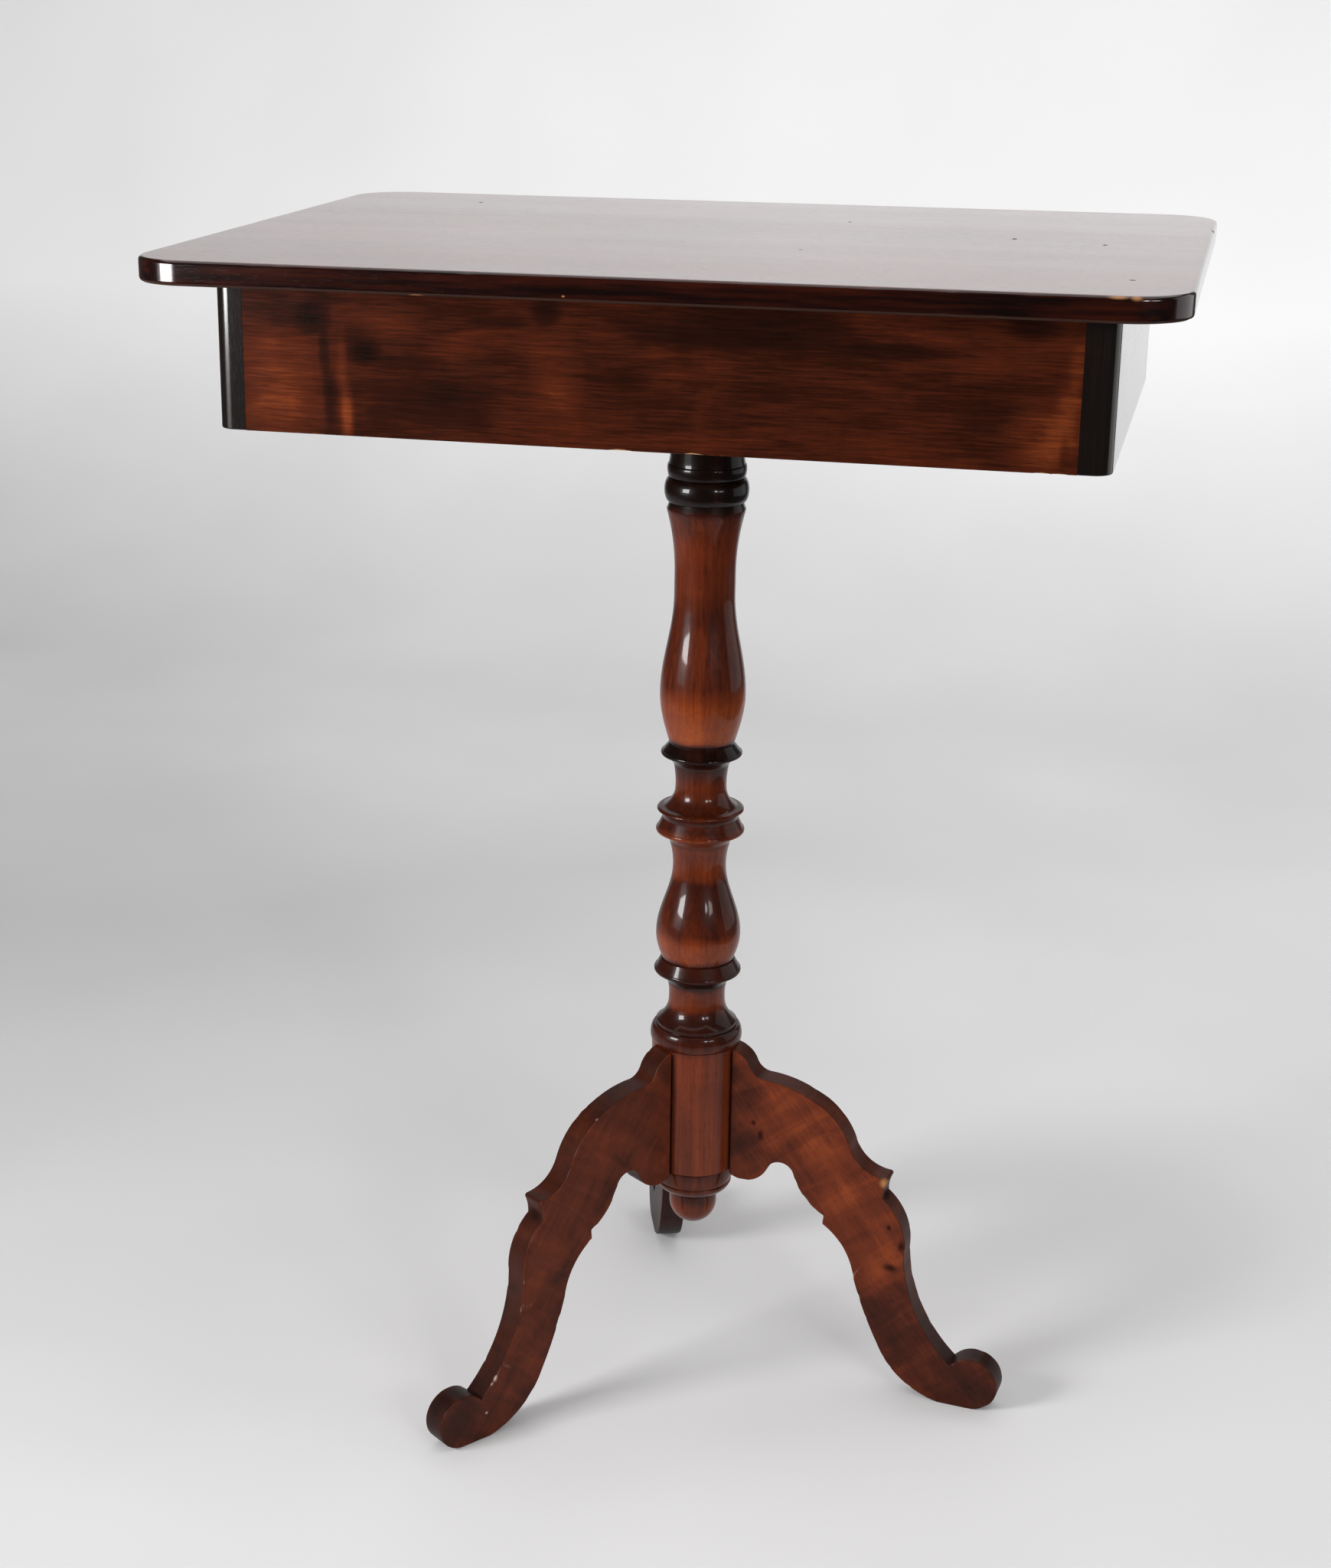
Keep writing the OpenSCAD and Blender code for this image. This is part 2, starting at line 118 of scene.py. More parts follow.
def smoothOff(piece, angle=32):
    takeUp(piece)
    bpy.ops.object.shade_smooth_by_angle(angle=math.radians(angle))
    piece.modifiers.new("even shading", "WEIGHTED_NORMAL").keep_sharp = True
    applyAll(piece)


# a value kept on each point of a mesh, for its finish to read
def markPoints(piece, name, worth):
    marks = piece.data.attributes.new(name, "FLOAT", "POINT")
    marks.data.foreach_set("value", [worth(v.co) for v in piece.data.vertices])


def markFaces(piece, name, worth):
    marks = piece.data.attributes.new(name, "FLOAT", "FACE")
    marks.data.foreach_set("value", [worth(f) for f in piece.data.polygons])


def copyOf(piece, name, turn, move=(0, 0, 0)):
    twin = piece.copy()
    twin.data = piece.data.copy()
    twin.name = name
    bpy.context.scene.collection.objects.link(twin)
    twin.data.transform(Matrix.Translation(Vector(move)) @ Matrix.Rotation(turn, 4, "Z"))
    return twin


def fitPiece(piece, finish, slot, *nodes):
    piece.data.materials.clear()
    piece.data.materials.append(finish)
    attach(piece, "root")
    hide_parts(*nodes)


# small nicks along the marked arrises, only ever inwards, where the noise is stronger than start
def wearArrises(piece, mark, depth, size, start):
    steepness, least = 2.5, 0.01
    group = piece.vertex_groups.new(name=mark)
    for v, m in zip(piece.data.vertices, piece.data.attributes[mark].data):
        bite = min(1, max(0, noise.noise(v.co / size) - start) * steepness)
        if m.value * bite > least:
            group.add([v.index], m.value * bite, "REPLACE")
    nicks = piece.modifiers.new("nicks", "DISPLACE")
    nicks.vertex_group = group.name
    nicks.mid_level = 0
    nicks.strength = -depth
    applyAll(piece)


# nodes for the finishes
def put(tree, kind, sockets=None, **settings):
    made = tree.nodes.new("ShaderNode" + kind)
    for key, value in settings.items():
        setattr(made, key, value)
    for key, value in (sockets or {}).items():
        if isinstance(value, bpy.types.NodeSocket):
            tree.links.new(value, made.inputs[key])
        else:
            made.inputs[key].default_value = value
    return made


def maths(tree, operation, a, b=0.0, c=0.0, clamp=False):
    return put(tree, "Math", {0: a, 1: b, 2: c}, operation=operation, use_clamp=clamp).outputs[0]


def blend(tree, how, amount, a, b):
    mix = put(tree, "Mix", {0: amount, 6: a, 7: b}, data_type="RGBA", blend_type=how)
    return mix.outputs[2]


def remap(tree, value, low, high, toLow=0.0, toHigh=1.0, smooth=True):
    return put(tree, "MapRange", {0: value, 1: low, 2: high, 3: toLow, 4: toHigh},
               interpolation_type="SMOOTHSTEP" if smooth else "LINEAR").outputs[0]


def ramp(tree, value, stops):
    made = put(tree, "ValToRGB", {0: value})
    bar = made.color_ramp
    while len(bar.elements) < len(stops):
        bar.elements.new(1.0)
    for element, (place, colour) in zip(bar.elements, stops):
        element.position = place
        element.color = tint(colour)
    return made.outputs[0]


# a colour as seen on the screen, 0 to 255, made linear; a plain number is a grey
def tint(colour):
    if isinstance(colour, (int, float)):
        return (colour, colour, colour, 1)
    parts = [c / 255 for c in colour]
    return tuple(p / 12.92 if p < 0.04045 else ((p + 0.055) / 1.055) ** 2.4 for p in parts) + (1,)


def grain(tree, place, stretch, detail, rough=0.5, bend=0.0):
    spread = put(tree, "VectorMath", {0: place, 1: stretch}, operation="MULTIPLY").outputs[0]
    return put(tree, "TexNoise", {"Vector": spread, "Scale": 1.0, "Detail": detail,
                                  "Roughness": rough, "Distortion": bend}).outputs["Fac"]


# an oval patch round a place, 1 in the middle and 0 at its edge
def patch(tree, place, centre, size):
    start, shrink = [c * mm for c in centre], [1 / (s * mm) for s in size]
    away = put(tree, "VectorMath", {0: place, 1: start}, operation="SUBTRACT").outputs[0]
    even = put(tree, "VectorMath", {0: away, 1: shrink}, operation="MULTIPLY").outputs[0]
    far = put(tree, "VectorMath", {0: even}, operation="LENGTH").outputs["Value"]
    return remap(tree, far, 1.0, 0.15)


def marked(tree, name):
    return put(tree, "Attribute", attribute_name=name).outputs["Fac"]


def mottle(tree, place, scale, detail=2.0, rough=0.5):
    return put(tree, "TexNoise", {"Vector": place, "Scale": scale, "Detail": detail, "Roughness": rough})


# lays a tone on a colour where the mask is, as strongly as the share says
def lay(tree, how, mask, share, colour, tone):
    return blend(tree, how, maths(tree, "MULTIPLY", mask, share), colour, tint(tone))


# what the wood finishes share, where one of them doesn't say otherwise: shares of the tone, sizes in
# waves a metre along and across the grain, roughness, and tones as seen on the screen; waver, relief,
# and the places and sizes of patches and marks are in millimetres
wood = {
    "turn": Euler((0, 0, 0)), "waver": 3, "waverScale": 14, "fibreSize": (22, 800, 800),
    "streakSize": (6, 70, 70), "cloud": 0.3, "cloudSize": (9, 16, 16), "shimmer": 0.1,
    "shimmerSize": (70, 14, 14), "pore": 0.5, "poreSize": (170, 2400, 2400), "poreRange": (0.60, 0.72),
    "poreTone": (105, 78, 66), "poreRough": 0.15, "patches": [], "levelWaver": 0.012, "levelScale": 45,
    "edgeGrainSize": (14, 260, 260), "edgeGrainMiddle": 0.52, "bandSize": (1.3, 22, 1),
    "bandRange": (0.36, 0.64), "roughSwing": 0.1, "smear": 0.08, "smearScale": 26, "relief": 0.06,
    "specular": 0.5, "mirrorTint": 1.0, "coat": 0.0, "coatRough": 0.08, "coatIndex": 1.5,
    "dirtAndShadeTone": (16, 8, 6), "dirtAndShadeSpread": (1.3, -0.35), "rawTone": (58, 36, 25), "rawRough": 0.4,
    "arrisRange": (0.45, 0.95), "wornScale": 90, "wornTo": 0.62, "bareTone": (168, 124, 92),
    "bareRough": 0.25, "marks": [], "dentAndShade": 0.85, "dentAndShadeTone": (30, 14, 10), "dentAndShadeRough": 0.5,
    "paleMarks": [], "pale": 0.8, "paleTone": (176, 122, 74)}


def woodFinish(name, own):
    look = dict(wood, **own)
    material = bpy.data.materials.new(name)
    material.use_nodes = True
    tree = material.node_tree
    tree.nodes.clear()
    spot = put(tree, "TexCoord").outputs["Object"]
    turned = put(tree, "Mapping", {"Vector": spot, "Rotation": look["turn"]}).outputs[0]
    waver = mottle(tree, turned, look["waverScale"]).outputs["Color"]
    push = put(tree, "VectorMath", {0: waver, 1: (-0.5, -0.5, -0.5)}, operation="ADD").outputs[0]
    place = put(tree, "VectorMath", {0: push, 1: [look["waver"] * mm] * 3, 2: turned},
                operation="MULTIPLY_ADD").outputs[0]

    fibre = grain(tree, place, look["fibreSize"], 4.0, 0.62)
    streak = grain(tree, place, look["streakSize"], 3.0, 0.55, 0.4)
    cloud = grain(tree, turned, look["cloudSize"], 3.0, 0.5, 0.6)
    shimmer = grain(tree, place, look["shimmerSize"], 2.0, 0.5, 0.8)
    pore = remap(tree, grain(tree, place, look["poreSize"], 1.0), *look["poreRange"])

    tone = look["base"]
    for pattern, share in ((fibre, "fibre"), (streak, "streak"), (cloud, "cloud"), (shimmer, "shimmer")):
        tone = maths(tree, "MULTIPLY_ADD", pattern, look[share], tone)
    if "level" in look:  # tones by height, some of them painted shade under the disc and the block
        up = put(tree, "SeparateXYZ", {0: spot}).outputs[2]
        low, high, stops = look["level"]
        height = remap(tree, up, low * mm, high * mm, smooth=False)
        ripple = mottle(tree, spot, look["levelScale"]).outputs["Fac"]
        even = maths(tree, "SUBTRACT", height, look["levelWaver"] / 2)
        swing = maths(tree, "MULTIPLY_ADD", ripple, look["levelWaver"], even)
        level = ramp(tree, swing, [((z - low) / (high - low), t) for z, t in stops])
        level = maths(tree, "SUBTRACT", level, 0.5)
        tone = maths(tree, "MULTIPLY_ADD", level, look["levelPull"], tone)
    for centre, size, pull in look["patches"]:
        tone = maths(tree, "MULTIPLY_ADD", patch(tree, spot, centre, size), pull, tone)
    if "edgeGrain" in look:  # the long edges show more of the grain
        lines = grain(tree, place, look["edgeGrainSize"], 4.0, 0.6)
        lines = maths(tree, "SUBTRACT", lines, look["edgeGrainMiddle"])
        lines = maths(tree, "MULTIPLY", marked(tree, "longEdge"), lines)
        tone = maths(tree, "MULTIPLY_ADD", lines, look["edgeGrain"], tone)
    colour = ramp(tree, tone, look["tones"])
    colour = lay(tree, "MULTIPLY", pore, look["pore"], colour, look["poreTone"])

    rough = maths(tree, "MULTIPLY_ADD", fibre, look["roughSwing"], look["rough"])
    smear = mottle(tree, spot, look["smearScale"], 4.0, 0.7).outputs["Fac"]
    rough = maths(tree, "MULTIPLY_ADD", smear, look["smear"], rough)
    rough = maths(tree, "MULTIPLY_ADD", pore, look["poreRough"], rough)
    coat = look["coat"]

    if "dirtAndShade" in look:  # old polish and dust in the quirks, with painted shade there and beside the legs
        dirtAndShade = marked(tree, "dirtAndShade")
        fuller = maths(tree, "MULTIPLY_ADD", dirtAndShade, *look["dirtAndShadeSpread"])
        ragged = maths(tree, "MULTIPLY_ADD", streak, 0.5, fuller, clamp=True)
        held = maths(tree, "MULTIPLY", maths(tree, "MULTIPLY", dirtAndShade, ragged), look["dirtAndShade"], clamp=True)
        colour = blend(tree, "MIX", held, colour, tint(look["dirtAndShadeTone"]))
    if "sawn" in look:  # edges across the board take more stain
        sawn = marked(tree, "sawn")
        colour = lay(tree, "MULTIPLY", sawn, look["sawn"], colour, look["sawnTone"])
        rough = maths(tree, "MULTIPLY_ADD", sawn, look["sawnRough"], rough)
    if "bands" in look:  # the polish lies thicker and thinner along the boards
        band = remap(tree, grain(tree, turned, look["bandSize"], 2.0), *look["bandRange"])
        coat = maths(tree, "MULTIPLY_ADD", band, -look["bands"], coat)
    if "raw" in look:  # undersides are left unpolished
        raw = marked(tree, "raw")
        colour = lay(tree, "MIX", raw, look["raw"], colour, look["rawTone"])
        rough = maths(tree, "MULTIPLY_ADD", raw, look["rawRough"], rough)
        coat = maths(tree, "MULTIPLY", coat, maths(tree, "SUBTRACT", 1.0, raw))
    if "worn" in look:  # rubbed arrises
        arris = remap(tree, marked(tree, "arris"), *look["arrisRange"])
        chance = mottle(tree, spot, look["wornScale"], 5.0, 0.7).outputs["Fac"]
        bare = maths(tree, "MULTIPLY", remap(tree, chance, look["wornFrom"], look["wornTo"]), arris)
        colour = lay(tree, "MIX", bare, look["worn"], colour, look["bareTone"])
        rough = maths(tree, "MULTIPLY_ADD", bare, look["bareRough"], rough)
    for centre, size in look["marks"]:  # small dents and knocks, and on the legs painted shade in the spur's notch
        dentAndShade = patch(tree, spot, centre, size)
        colour = lay(tree, "MIX", dentAndShade, look["dentAndShade"], colour, look["dentAndShadeTone"])
        rough = maths(tree, "MULTIPLY_ADD", dentAndShade, look["dentAndShadeRough"], rough)
        coat = maths(tree, "MULTIPLY", coat, maths(tree, "SUBTRACT", 1.0, dentAndShade))
    for centre, size in look["paleMarks"]:
        colour = lay(tree, "MIX", patch(tree, spot, centre, size), look["pale"], colour, look["paleTone"])

    rise = maths(tree, "MULTIPLY_ADD", pore, -1.0, maths(tree, "MULTIPLY", fibre, 0.6))
    height = put(tree, "Bump", {"Strength": look["bump"], "Distance": look["relief"] * mm, "Height": rise})
    shader = put(tree, "BsdfPrincipled", {
        "Base Color": colour, "Roughness": rough, "Normal": height.outputs[0],
        "Specular IOR Level": look["specular"], "Specular Tint": tint(look["mirrorTint"]),
        "Coat Weight": coat, "Coat Roughness": look["coatRough"], "Coat IOR": look["coatIndex"]})
    end = put(tree, "OutputMaterial")
    tree.links.new(shader.outputs[0], end.inputs[0])
    return material


def grainAlong(axis):
    return {"X": Euler((0, 0, 0)), "Y": Euler((0, 0, math.radians(-90))),
            "Z": Euler((0, math.radians(90), 0))}[axis]


# top: two boards with eased arrises, millimetres; the two normals are their upward parts
top = {"width": 578, "depth": 418, "thick": 14, "upper": 750, "corner": 34, "cornerSteps": 22, "easing": 2.5,
       "easingSteps": 5, "rearBoard": 137, "jointEasing": 0.12, "clearOfJoint": 0.3, "cuts": 110,
       "nick": 0.9, "nickSize": 6, "nickFrom": 0.32, "flatNormal": 0.985, "downNormal": -0.4}

topLook = {
    "tones": [(0.0, (34, 13, 8)), (0.35, (78, 30, 16)), (0.6, (118, 48, 26)), (1.0, (158, 74, 40))],
    "base": -0.16, "fibre": 0.34, "streak": 0.62, "streakSize": (3, 60, 60), "cloud": 0.35, "shimmer": 0.06,
    "sawn": 1.0, "sawnTone": (86, 74, 64), "sawnRough": -0.02, "edgeGrain": 2.4, "raw": 0.6, "bands": 0.10,
    "rough": 0.10, "roughSwing": 0.06, "smear": 0.10, "bump": 0.08, "specular": 0.2,
    "mirrorTint": (255, 228, 232), "coat": 1.0, "coatRough": 0.13,
    "worn": 0.9, "wornFrom": 0.60, "wornTo": 0.68,
    "marks": [((67, 99, 750), (1.7, 3, 1)), ((176, 34, 750), (2.2, 5, 1)), ((230, 17, 750), (2.2, 4, 1)),
              ((64, -57, 750), (1.6, 2, 1)), ((255, -143, 750), (2.6, 3, 1)), ((-190, 150, 750), (2, 4, 1))],
    "paleMarks": [((252, -208.5, 749.5), (7, 3, 1.6)), ((261, -207.5, 749), (4, 3, 2)),
                  ((-117, -209, 736.4), (6, 3, 0.8)), ((-35, -209, 739), (1.2, 3, 0.8))]}


def makeTopBoard(name, front, finish):
    w, d, t = top["width"] / 2 * mm, top["depth"] / 2 * mm, top["thick"] * mm
    upper, joint = top["upper"] * mm, (top["depth"] / 2 - top["rearBoard"]) * mm
    out = -d if front else d
    piece = newBlock(name, (-w, min(out, joint), upper - t), (w, max(out, joint), upper))
    openMesh(piece)
    pick("EDGE", lambda e: along(e, 2) and near(e.verts[0].co.y, out))
    bpy.ops.mesh.bevel(offset=top["corner"] * mm, segments=top["cornerSteps"], affect="EDGES", profile=0.5)
    pick("EDGE", lambda e: along(e, 0) and near(middle(e).y, out))
    bpy.ops.mesh.subdivide(number_cuts=top["cuts"])
    pick("EDGE", lambda e: along(e, 1) and near(abs(middle(e).x), w))
    bpy.ops.mesh.subdivide(number_cuts=top["cuts"] // 3)
    level = lambda e, z: near(e.verts[0].co.z, z) and near(e.verts[1].co.z, z)
    rim = lambda e: (level(e, upper) or level(e, upper - t)) and e.calc_face_angle(0) > 1
    pick("EDGE", lambda e: rim(e) and not near(middle(e).y, joint))
    bpy.ops.mesh.bevel(offset=top["easing"] * mm, segments=top["easingSteps"], affect="EDGES", profile=0.5)
    pick("EDGE", lambda e: along(e, 0) and near(middle(e).y, joint))
    bpy.ops.mesh.bevel(offset=top["jointEasing"] * mm, segments=1, affect="EDGES")
    putToolsDown()

    def arrisAt(p):
        easing = top["easing"] * mm
        cornerX, cornerY = abs(p.x) - (w - top["corner"] * mm), abs(p.y) - (d - top["corner"] * mm)
        fromSide = min(w - abs(p.x), abs(out - p.y))
        if cornerX > 0 and cornerY > 0:
            fromSide = top["corner"] * mm - math.hypot(cornerX, cornerY)
        if fromSide > easing or near(p.y, joint, top["clearOfJoint"] * mm):
            return 0.0
        return max(0.0, 1 - abs(fromSide - min(upper - p.z, p.z - (upper - t))) / easing)

    markPoints(piece, "arris", arrisAt)
    markFaces(piece, "sawn", lambda f: 1.0 if f.normal.z < top["flatNormal"] else 0.0)
    markFaces(piece, "raw", lambda f: 1.0 if f.normal.z < top["downNormal"] else 0.0)
    markFaces(piece, "longEdge", lambda f: abs(f.normal.y))
    wearArrises(piece, "arris", top["nick"] * mm, top["nickSize"] * mm, top["nickFrom"])
    smoothOff(piece)
    fitPiece(piece, finish, "top", "top_board_front" if front else "top_board_rear")


topFinish = woodFinish("frenchPolishedTop", topLook)
makeTopBoard("polished_top_board_front", True, topFinish)
makeTopBoard("polished_top_board_rear", False, topFinish)
print("top boards made")


# frieze: face veneers with knocked lower edges, millimetres
frieze = {"halfWidth": 252.5, "halfDepth": 166, "low": 650, "high": 86, "post": 18, "round": 10,
          "veneer": 1.2, "arris": 0.25, "wornHeight": 0.8, "wearLine": 2, "chipped": 0.4, "cutEvery": 1.4,
          "roundSteps": 20, "postArris": 0.3, "postEasing": 0.8, "postWornHeight": 1.2,
          "frontChips": [(-18, 2.4, 0.9), (-11, 2.0, 0.7), (26, 2.8, 1.0), (31, 1.6, 0.6), (217, 3.0, 0.8),
                         (225, 2.5, 0.6)],
          "otherChips": [(-96, 2.2, 0.7), (41, 2.6, 0.8), (88, 1.8, 0.6)]}  # place, half width, height

veneerLook = {
    "tones": [(0.0, (20, 8, 5)), (0.3, (46, 18, 9)), (0.55, (80, 33, 16)), (0.8, (122, 57, 26)),
              (1.0, (156, 86, 44))],
    "base": -0.34, "fibre": 0.56, "fibreSize": (44, 900, 900), "streak": 0.26, "streakSize": (14, 130, 150),
    "cloud": 0.58, "cloudSize": (12, 26, 34), "shimmer": 0.08, "rough": 0.14, "roughSwing": 0.08,
    "smear": 0.10, "bump": 0.1, "specular": 0.07, "coat": 0.25, "coatRough": 0.10,
    "worn": 0.8, "wornFrom": 0.55, "wornTo": 0.66,
    # the veneer's figure; the dark patches along its upper edge are partly figure and partly painted shadow
    # under the top
    "patches": [((-214, -166, 668), (36, 20, 30), 0.22), ((-210, -166, 700), (34, 20, 20), 0.08),
                ((-193, -166, 717), (16, 20, 13), -0.30), ((-184, -166, 727), (16, 20, 9), -0.12),
                ((-186, -166, 696), (4.5, 20, 20), -0.20), ((-183, -166, 672), (5.5, 20, 28), -0.20),
                ((-173, -166, 660), (6, 20, 26), 0.34), ((-175.5, -166, 688), (4.5, 20, 28), 0.14),
                ((-163, -166, 698), (13, 20, 10), -0.30), ((-140, -166, 694), (40, 20, 6), -0.16),
                ((-124, -166, 672), (64, 20, 28), -0.16), ((-150, -166, 713), (36, 20, 9), 0.10),
                ((-56, -166, 724), (12, 20, 11), -0.24), ((-84, -166, 717), (24, 20, 5), -0.18),
                ((-52, -166, 690), (22, 20, 28), 0.10), ((-16, -166, 684), (44, 20, 20), -0.12),
                ((58, -166, 719), (95, 20, 18), -0.20), ((138, -166, 711), (50, 20, 7), -0.22),
                ((207, -166, 726), (20, 20, 10), -0.24), ((232, -166, 706), (8, 20, 18), 0.16),
                ((229, -166, 688), (11, 20, 18), 0.20), ((224, -166, 670), (14, 20, 17), 0.22),
                ((214, -166, 657), (20, 20, 13), 0.18), ((227, -166, 662), (4, 20, 14), -0.12),
                ((40, -166, 690), (130, 20, 50), -0.06)]}


def makeVeneer(name, halfLength, depth, chips, turn, finish, node):
    z = frieze["low"] * mm
    wearLine = z + frieze["wearLine"] * mm  # the wear stays below this line
    piece = newBlock(name, (-halfLength * mm, -depth * mm, z),
                     (halfLength * mm, (frieze["veneer"] - depth) * mm, z + frieze["high"] * mm))
    openMesh(piece)
    bpy.ops.mesh.select_all(action="SELECT")
    bpy.ops.mesh.bisect(plane_co=(0, 0, wearLine), plane_no=(0, 0, 1))
    lower = lambda e: along(e, 0) and near(middle(e).z, z)
    pick("EDGE", lower)
    bpy.ops.mesh.subdivide(number_cuts=int(2 * halfLength / frieze["cutEvery"]))
    pick("EDGE", lambda e: lower(e) and near(middle(e).y, -depth * mm))
    bpy.ops.mesh.bevel(offset=frieze["arris"] * mm, segments=2, affect="EDGES")
    for x, width, rise in chips:
        pick("VERT", lambda v: abs(v.co.x - x * mm) < width * mm and v.co.z < z + frieze["chipped"] * mm)
        bpy.ops.transform.translate(value=(0, 0, rise * mm), use_proportional_edit=False)
    putToolsDown()
    markPoints(piece, "arris", lambda p: max(0.0, 1 - (p.z - z) / (frieze["wornHeight"] * mm)))
    piece.data.transform(Matrix.Rotation(turn, 4, "Z"))
    smoothOff(piece, 25)
    fitPiece(piece, finish, "veneer", node)


quarter = math.pi / 2
longHalf, shortHalf = frieze["halfWidth"] - frieze["post"], frieze["halfDepth"] - frieze["post"]
veneerFinish = woodFinish("figuredVeneer", veneerLook)
sideLook = dict(veneerLook, turn=grainAlong("Y"), patches=[], coat=0.9)
sideVeneerFinish = woodFinish("figuredVeneerAcross", sideLook)
for side, halfLength, depth, chips, turn, finish in (
        ("front", longHalf, frieze["halfDepth"], frieze["frontChips"], 0, veneerFinish),
        ("rear", longHalf, frieze["halfDepth"], frieze["otherChips"], 2 * quarter, veneerFinish),
        ("right", shortHalf, frieze["halfWidth"], frieze["otherChips"], quarter, sideVeneerFinish),
        ("left", shortHalf, frieze["halfWidth"], frieze["otherChips"], -quarter, sideVeneerFinish)):
    makeVeneer("face_veneer_" + side, halfLength, depth, chips, turn, finish, "veneer_" + side)
print("veneers laid")

# posts: ebonised, round at their outer corners
postLook = {
    "turn": grainAlong("Z"), "tones": [(0.0, (9, 7, 6)), (0.6, (21, 14, 11)), (1.0, (42, 28, 21))],
    "base": -0.1, "fibre": 0.4, "streak": 0.5, "rough": 0.16, "roughSwing": 0.06, "bump": 0.15,
    "specular": 0.12, "coat": 0.9, "coatRough": 0.14,
    "worn": 0.8, "wornFrom": 0.52, "bareTone": (96, 70, 54)}


def makePost():
    w, z, high = frieze["post"] * mm, frieze["low"] * mm, frieze["high"] * mm
    post = newBlock("master_post", (0, -w, z), (w, 0, z + high))
    openMesh(post)
    pick("EDGE", lambda e: along(e, 2) and near(middle(e).x, w) and near(middle(e).y, -w))
    bpy.ops.mesh.bevel(offset=frieze["round"] * mm, segments=frieze["roundSteps"], affect="EDGES")
    outer = lambda p: p.x > 0.02 * mm and p.y < -0.02 * mm
    pick("EDGE", lambda e: near(e.verts[0].co.z, z) and near(e.verts[1].co.z, z) and outer(middle(e)))
    bpy.ops.mesh.bevel(offset=frieze["postEasing"] * mm, segments=3, affect="EDGES")
    beside = lambda p: near(p.x, 0) and near(p.y, -w) or near(p.x, w) and near(p.y, 0)
    pick("EDGE", lambda e: along(e, 2) and beside(middle(e)))
    bpy.ops.mesh.bevel(offset=frieze["postArris"] * mm, segments=2, affect="EDGES")
    putToolsDown()
    markPoints(post, "arris", lambda p: max(0.0, 1 - (p.z - z) / (frieze["postWornHeight"] * mm)))
    smoothOff(post)
    return post


postFinish = woodFinish("ebonisedPost", postLook)
masterPost = makePost()
for name, turn, x, y in (("front_right", 0, 1, -1), ("front_left", -quarter, -1, -1),
                         ("rear_left", 2 * quarter, -1, 1), ("rear_right", quarter, 1, 1)):
    post = copyOf(masterPost, "ebonised_post_" + name, turn, (x * longHalf * mm, y * shortHalf * mm, 0))
    fitPiece(post, postFinish, "ebonised", "post_" + name)
bpy.data.objects.remove(masterPost)
print("posts set")


# turned work: each moulding is a form, its height, its foot and head radii, and a round one's crown;
# places nearer to each other than the least step are drawn as one, millimetres
leastStep = 0.02


def roundForm(h, foot, head, crown, n=18):
    for i in range(n + 1):
        a = math.pi * i / n
        s = (1 - math.cos(a)) / 2
        yield foot + (head - foot) * s + (crown - (foot + head) / 2) * math.sin(a), h * s


def ogeeForm(h, foot, head, n=28):
    return ((foot + (head - foot) * (1 - math.cos(math.pi * i / n)) / 2, h * i / n) for i in range(n + 1))


def swellForm(h, foot, head, n=14):
    return ((foot + (head - foot) * math.sin(math.pi / 2 * i / n), h * i / n) for i in range(n + 1))


def flareForm(h, foot, head, n=12):
    return ((foot + (head - foot) * (i / n) ** 2, h * i / n) for i in range(n + 1))


def coveForm(h, foot, head, n=20):
    return ((head + (foot - head) * (1 - i / n) ** 3, h * i / n) for i in range(n + 1))


def bevelForm(h, foot, head):
    return ((foot, 0), (head, h))


forms = {"round": roundForm, "ogee": ogeeForm, "swell": swellForm, "flare": flareForm, "cove": coveForm,
         "bevel": bevelForm}


def storyStick(mouldings, start):
    places = []
    for kind, h, *radii in mouldings:
        for r, up in forms[kind](h, *radii):
            if not places or math.hypot(r - places[-1][0], start + up - places[-1][1]) > leastStep:
                places.append((r, start + up))
        start += h
    return places


# a quirk, millimetres: how near its sides are, the least depth that counts, the depth that stays
# free of dirt and painted shade and the further depth that is full of them; most is their largest share
quirk = {"near": 4.5, "least": 1, "free": 0.8, "full": 3.5, "most": 0.6}


def quirkDepth(places):
    depths = []
    for r, z in places:
        below = max(q for q, y in places if abs(y - z) < quirk["near"]) - r
        depth = min(quirk["most"], max(0.0, (below - quirk["free"]) / quirk["full"]))
        depths.append(depth if below > quirk["least"] else 0)
    return depths


def turnOnLathe(name, places, steps=120):
    points = [Vector((r * mm, 0, z * mm)) for r, z in places]
    piece = drawLine(name, points)
    bpy.ops.mesh.select_all(action="SELECT")
    bpy.ops.mesh.spin(steps=steps, angle=2 * math.pi, center=(0, 0, 0), axis=(0, 0, 1), use_auto_merge=False)
    bpy.ops.mesh.select_all(action="SELECT")
    bpy.ops.mesh.remove_doubles(threshold=0.004 * mm)
    bpy.ops.mesh.normals_make_consistent(inside=False)
    putToolsDown()
    return piece


# each place's depth in a quirk, for the dirt and painted shade there
def markDirtAndShade(piece, places):
    depths = quirkDepth(places)
    table = {(round(r, 2), round(z, 2)): depth for (r, z), depth in zip(places, depths)}
    markPoints(piece, "dirtAndShade", lambda p: table.get((round(p.xy.length / mm, 2), round(p.z / mm, 2)), 0.0))


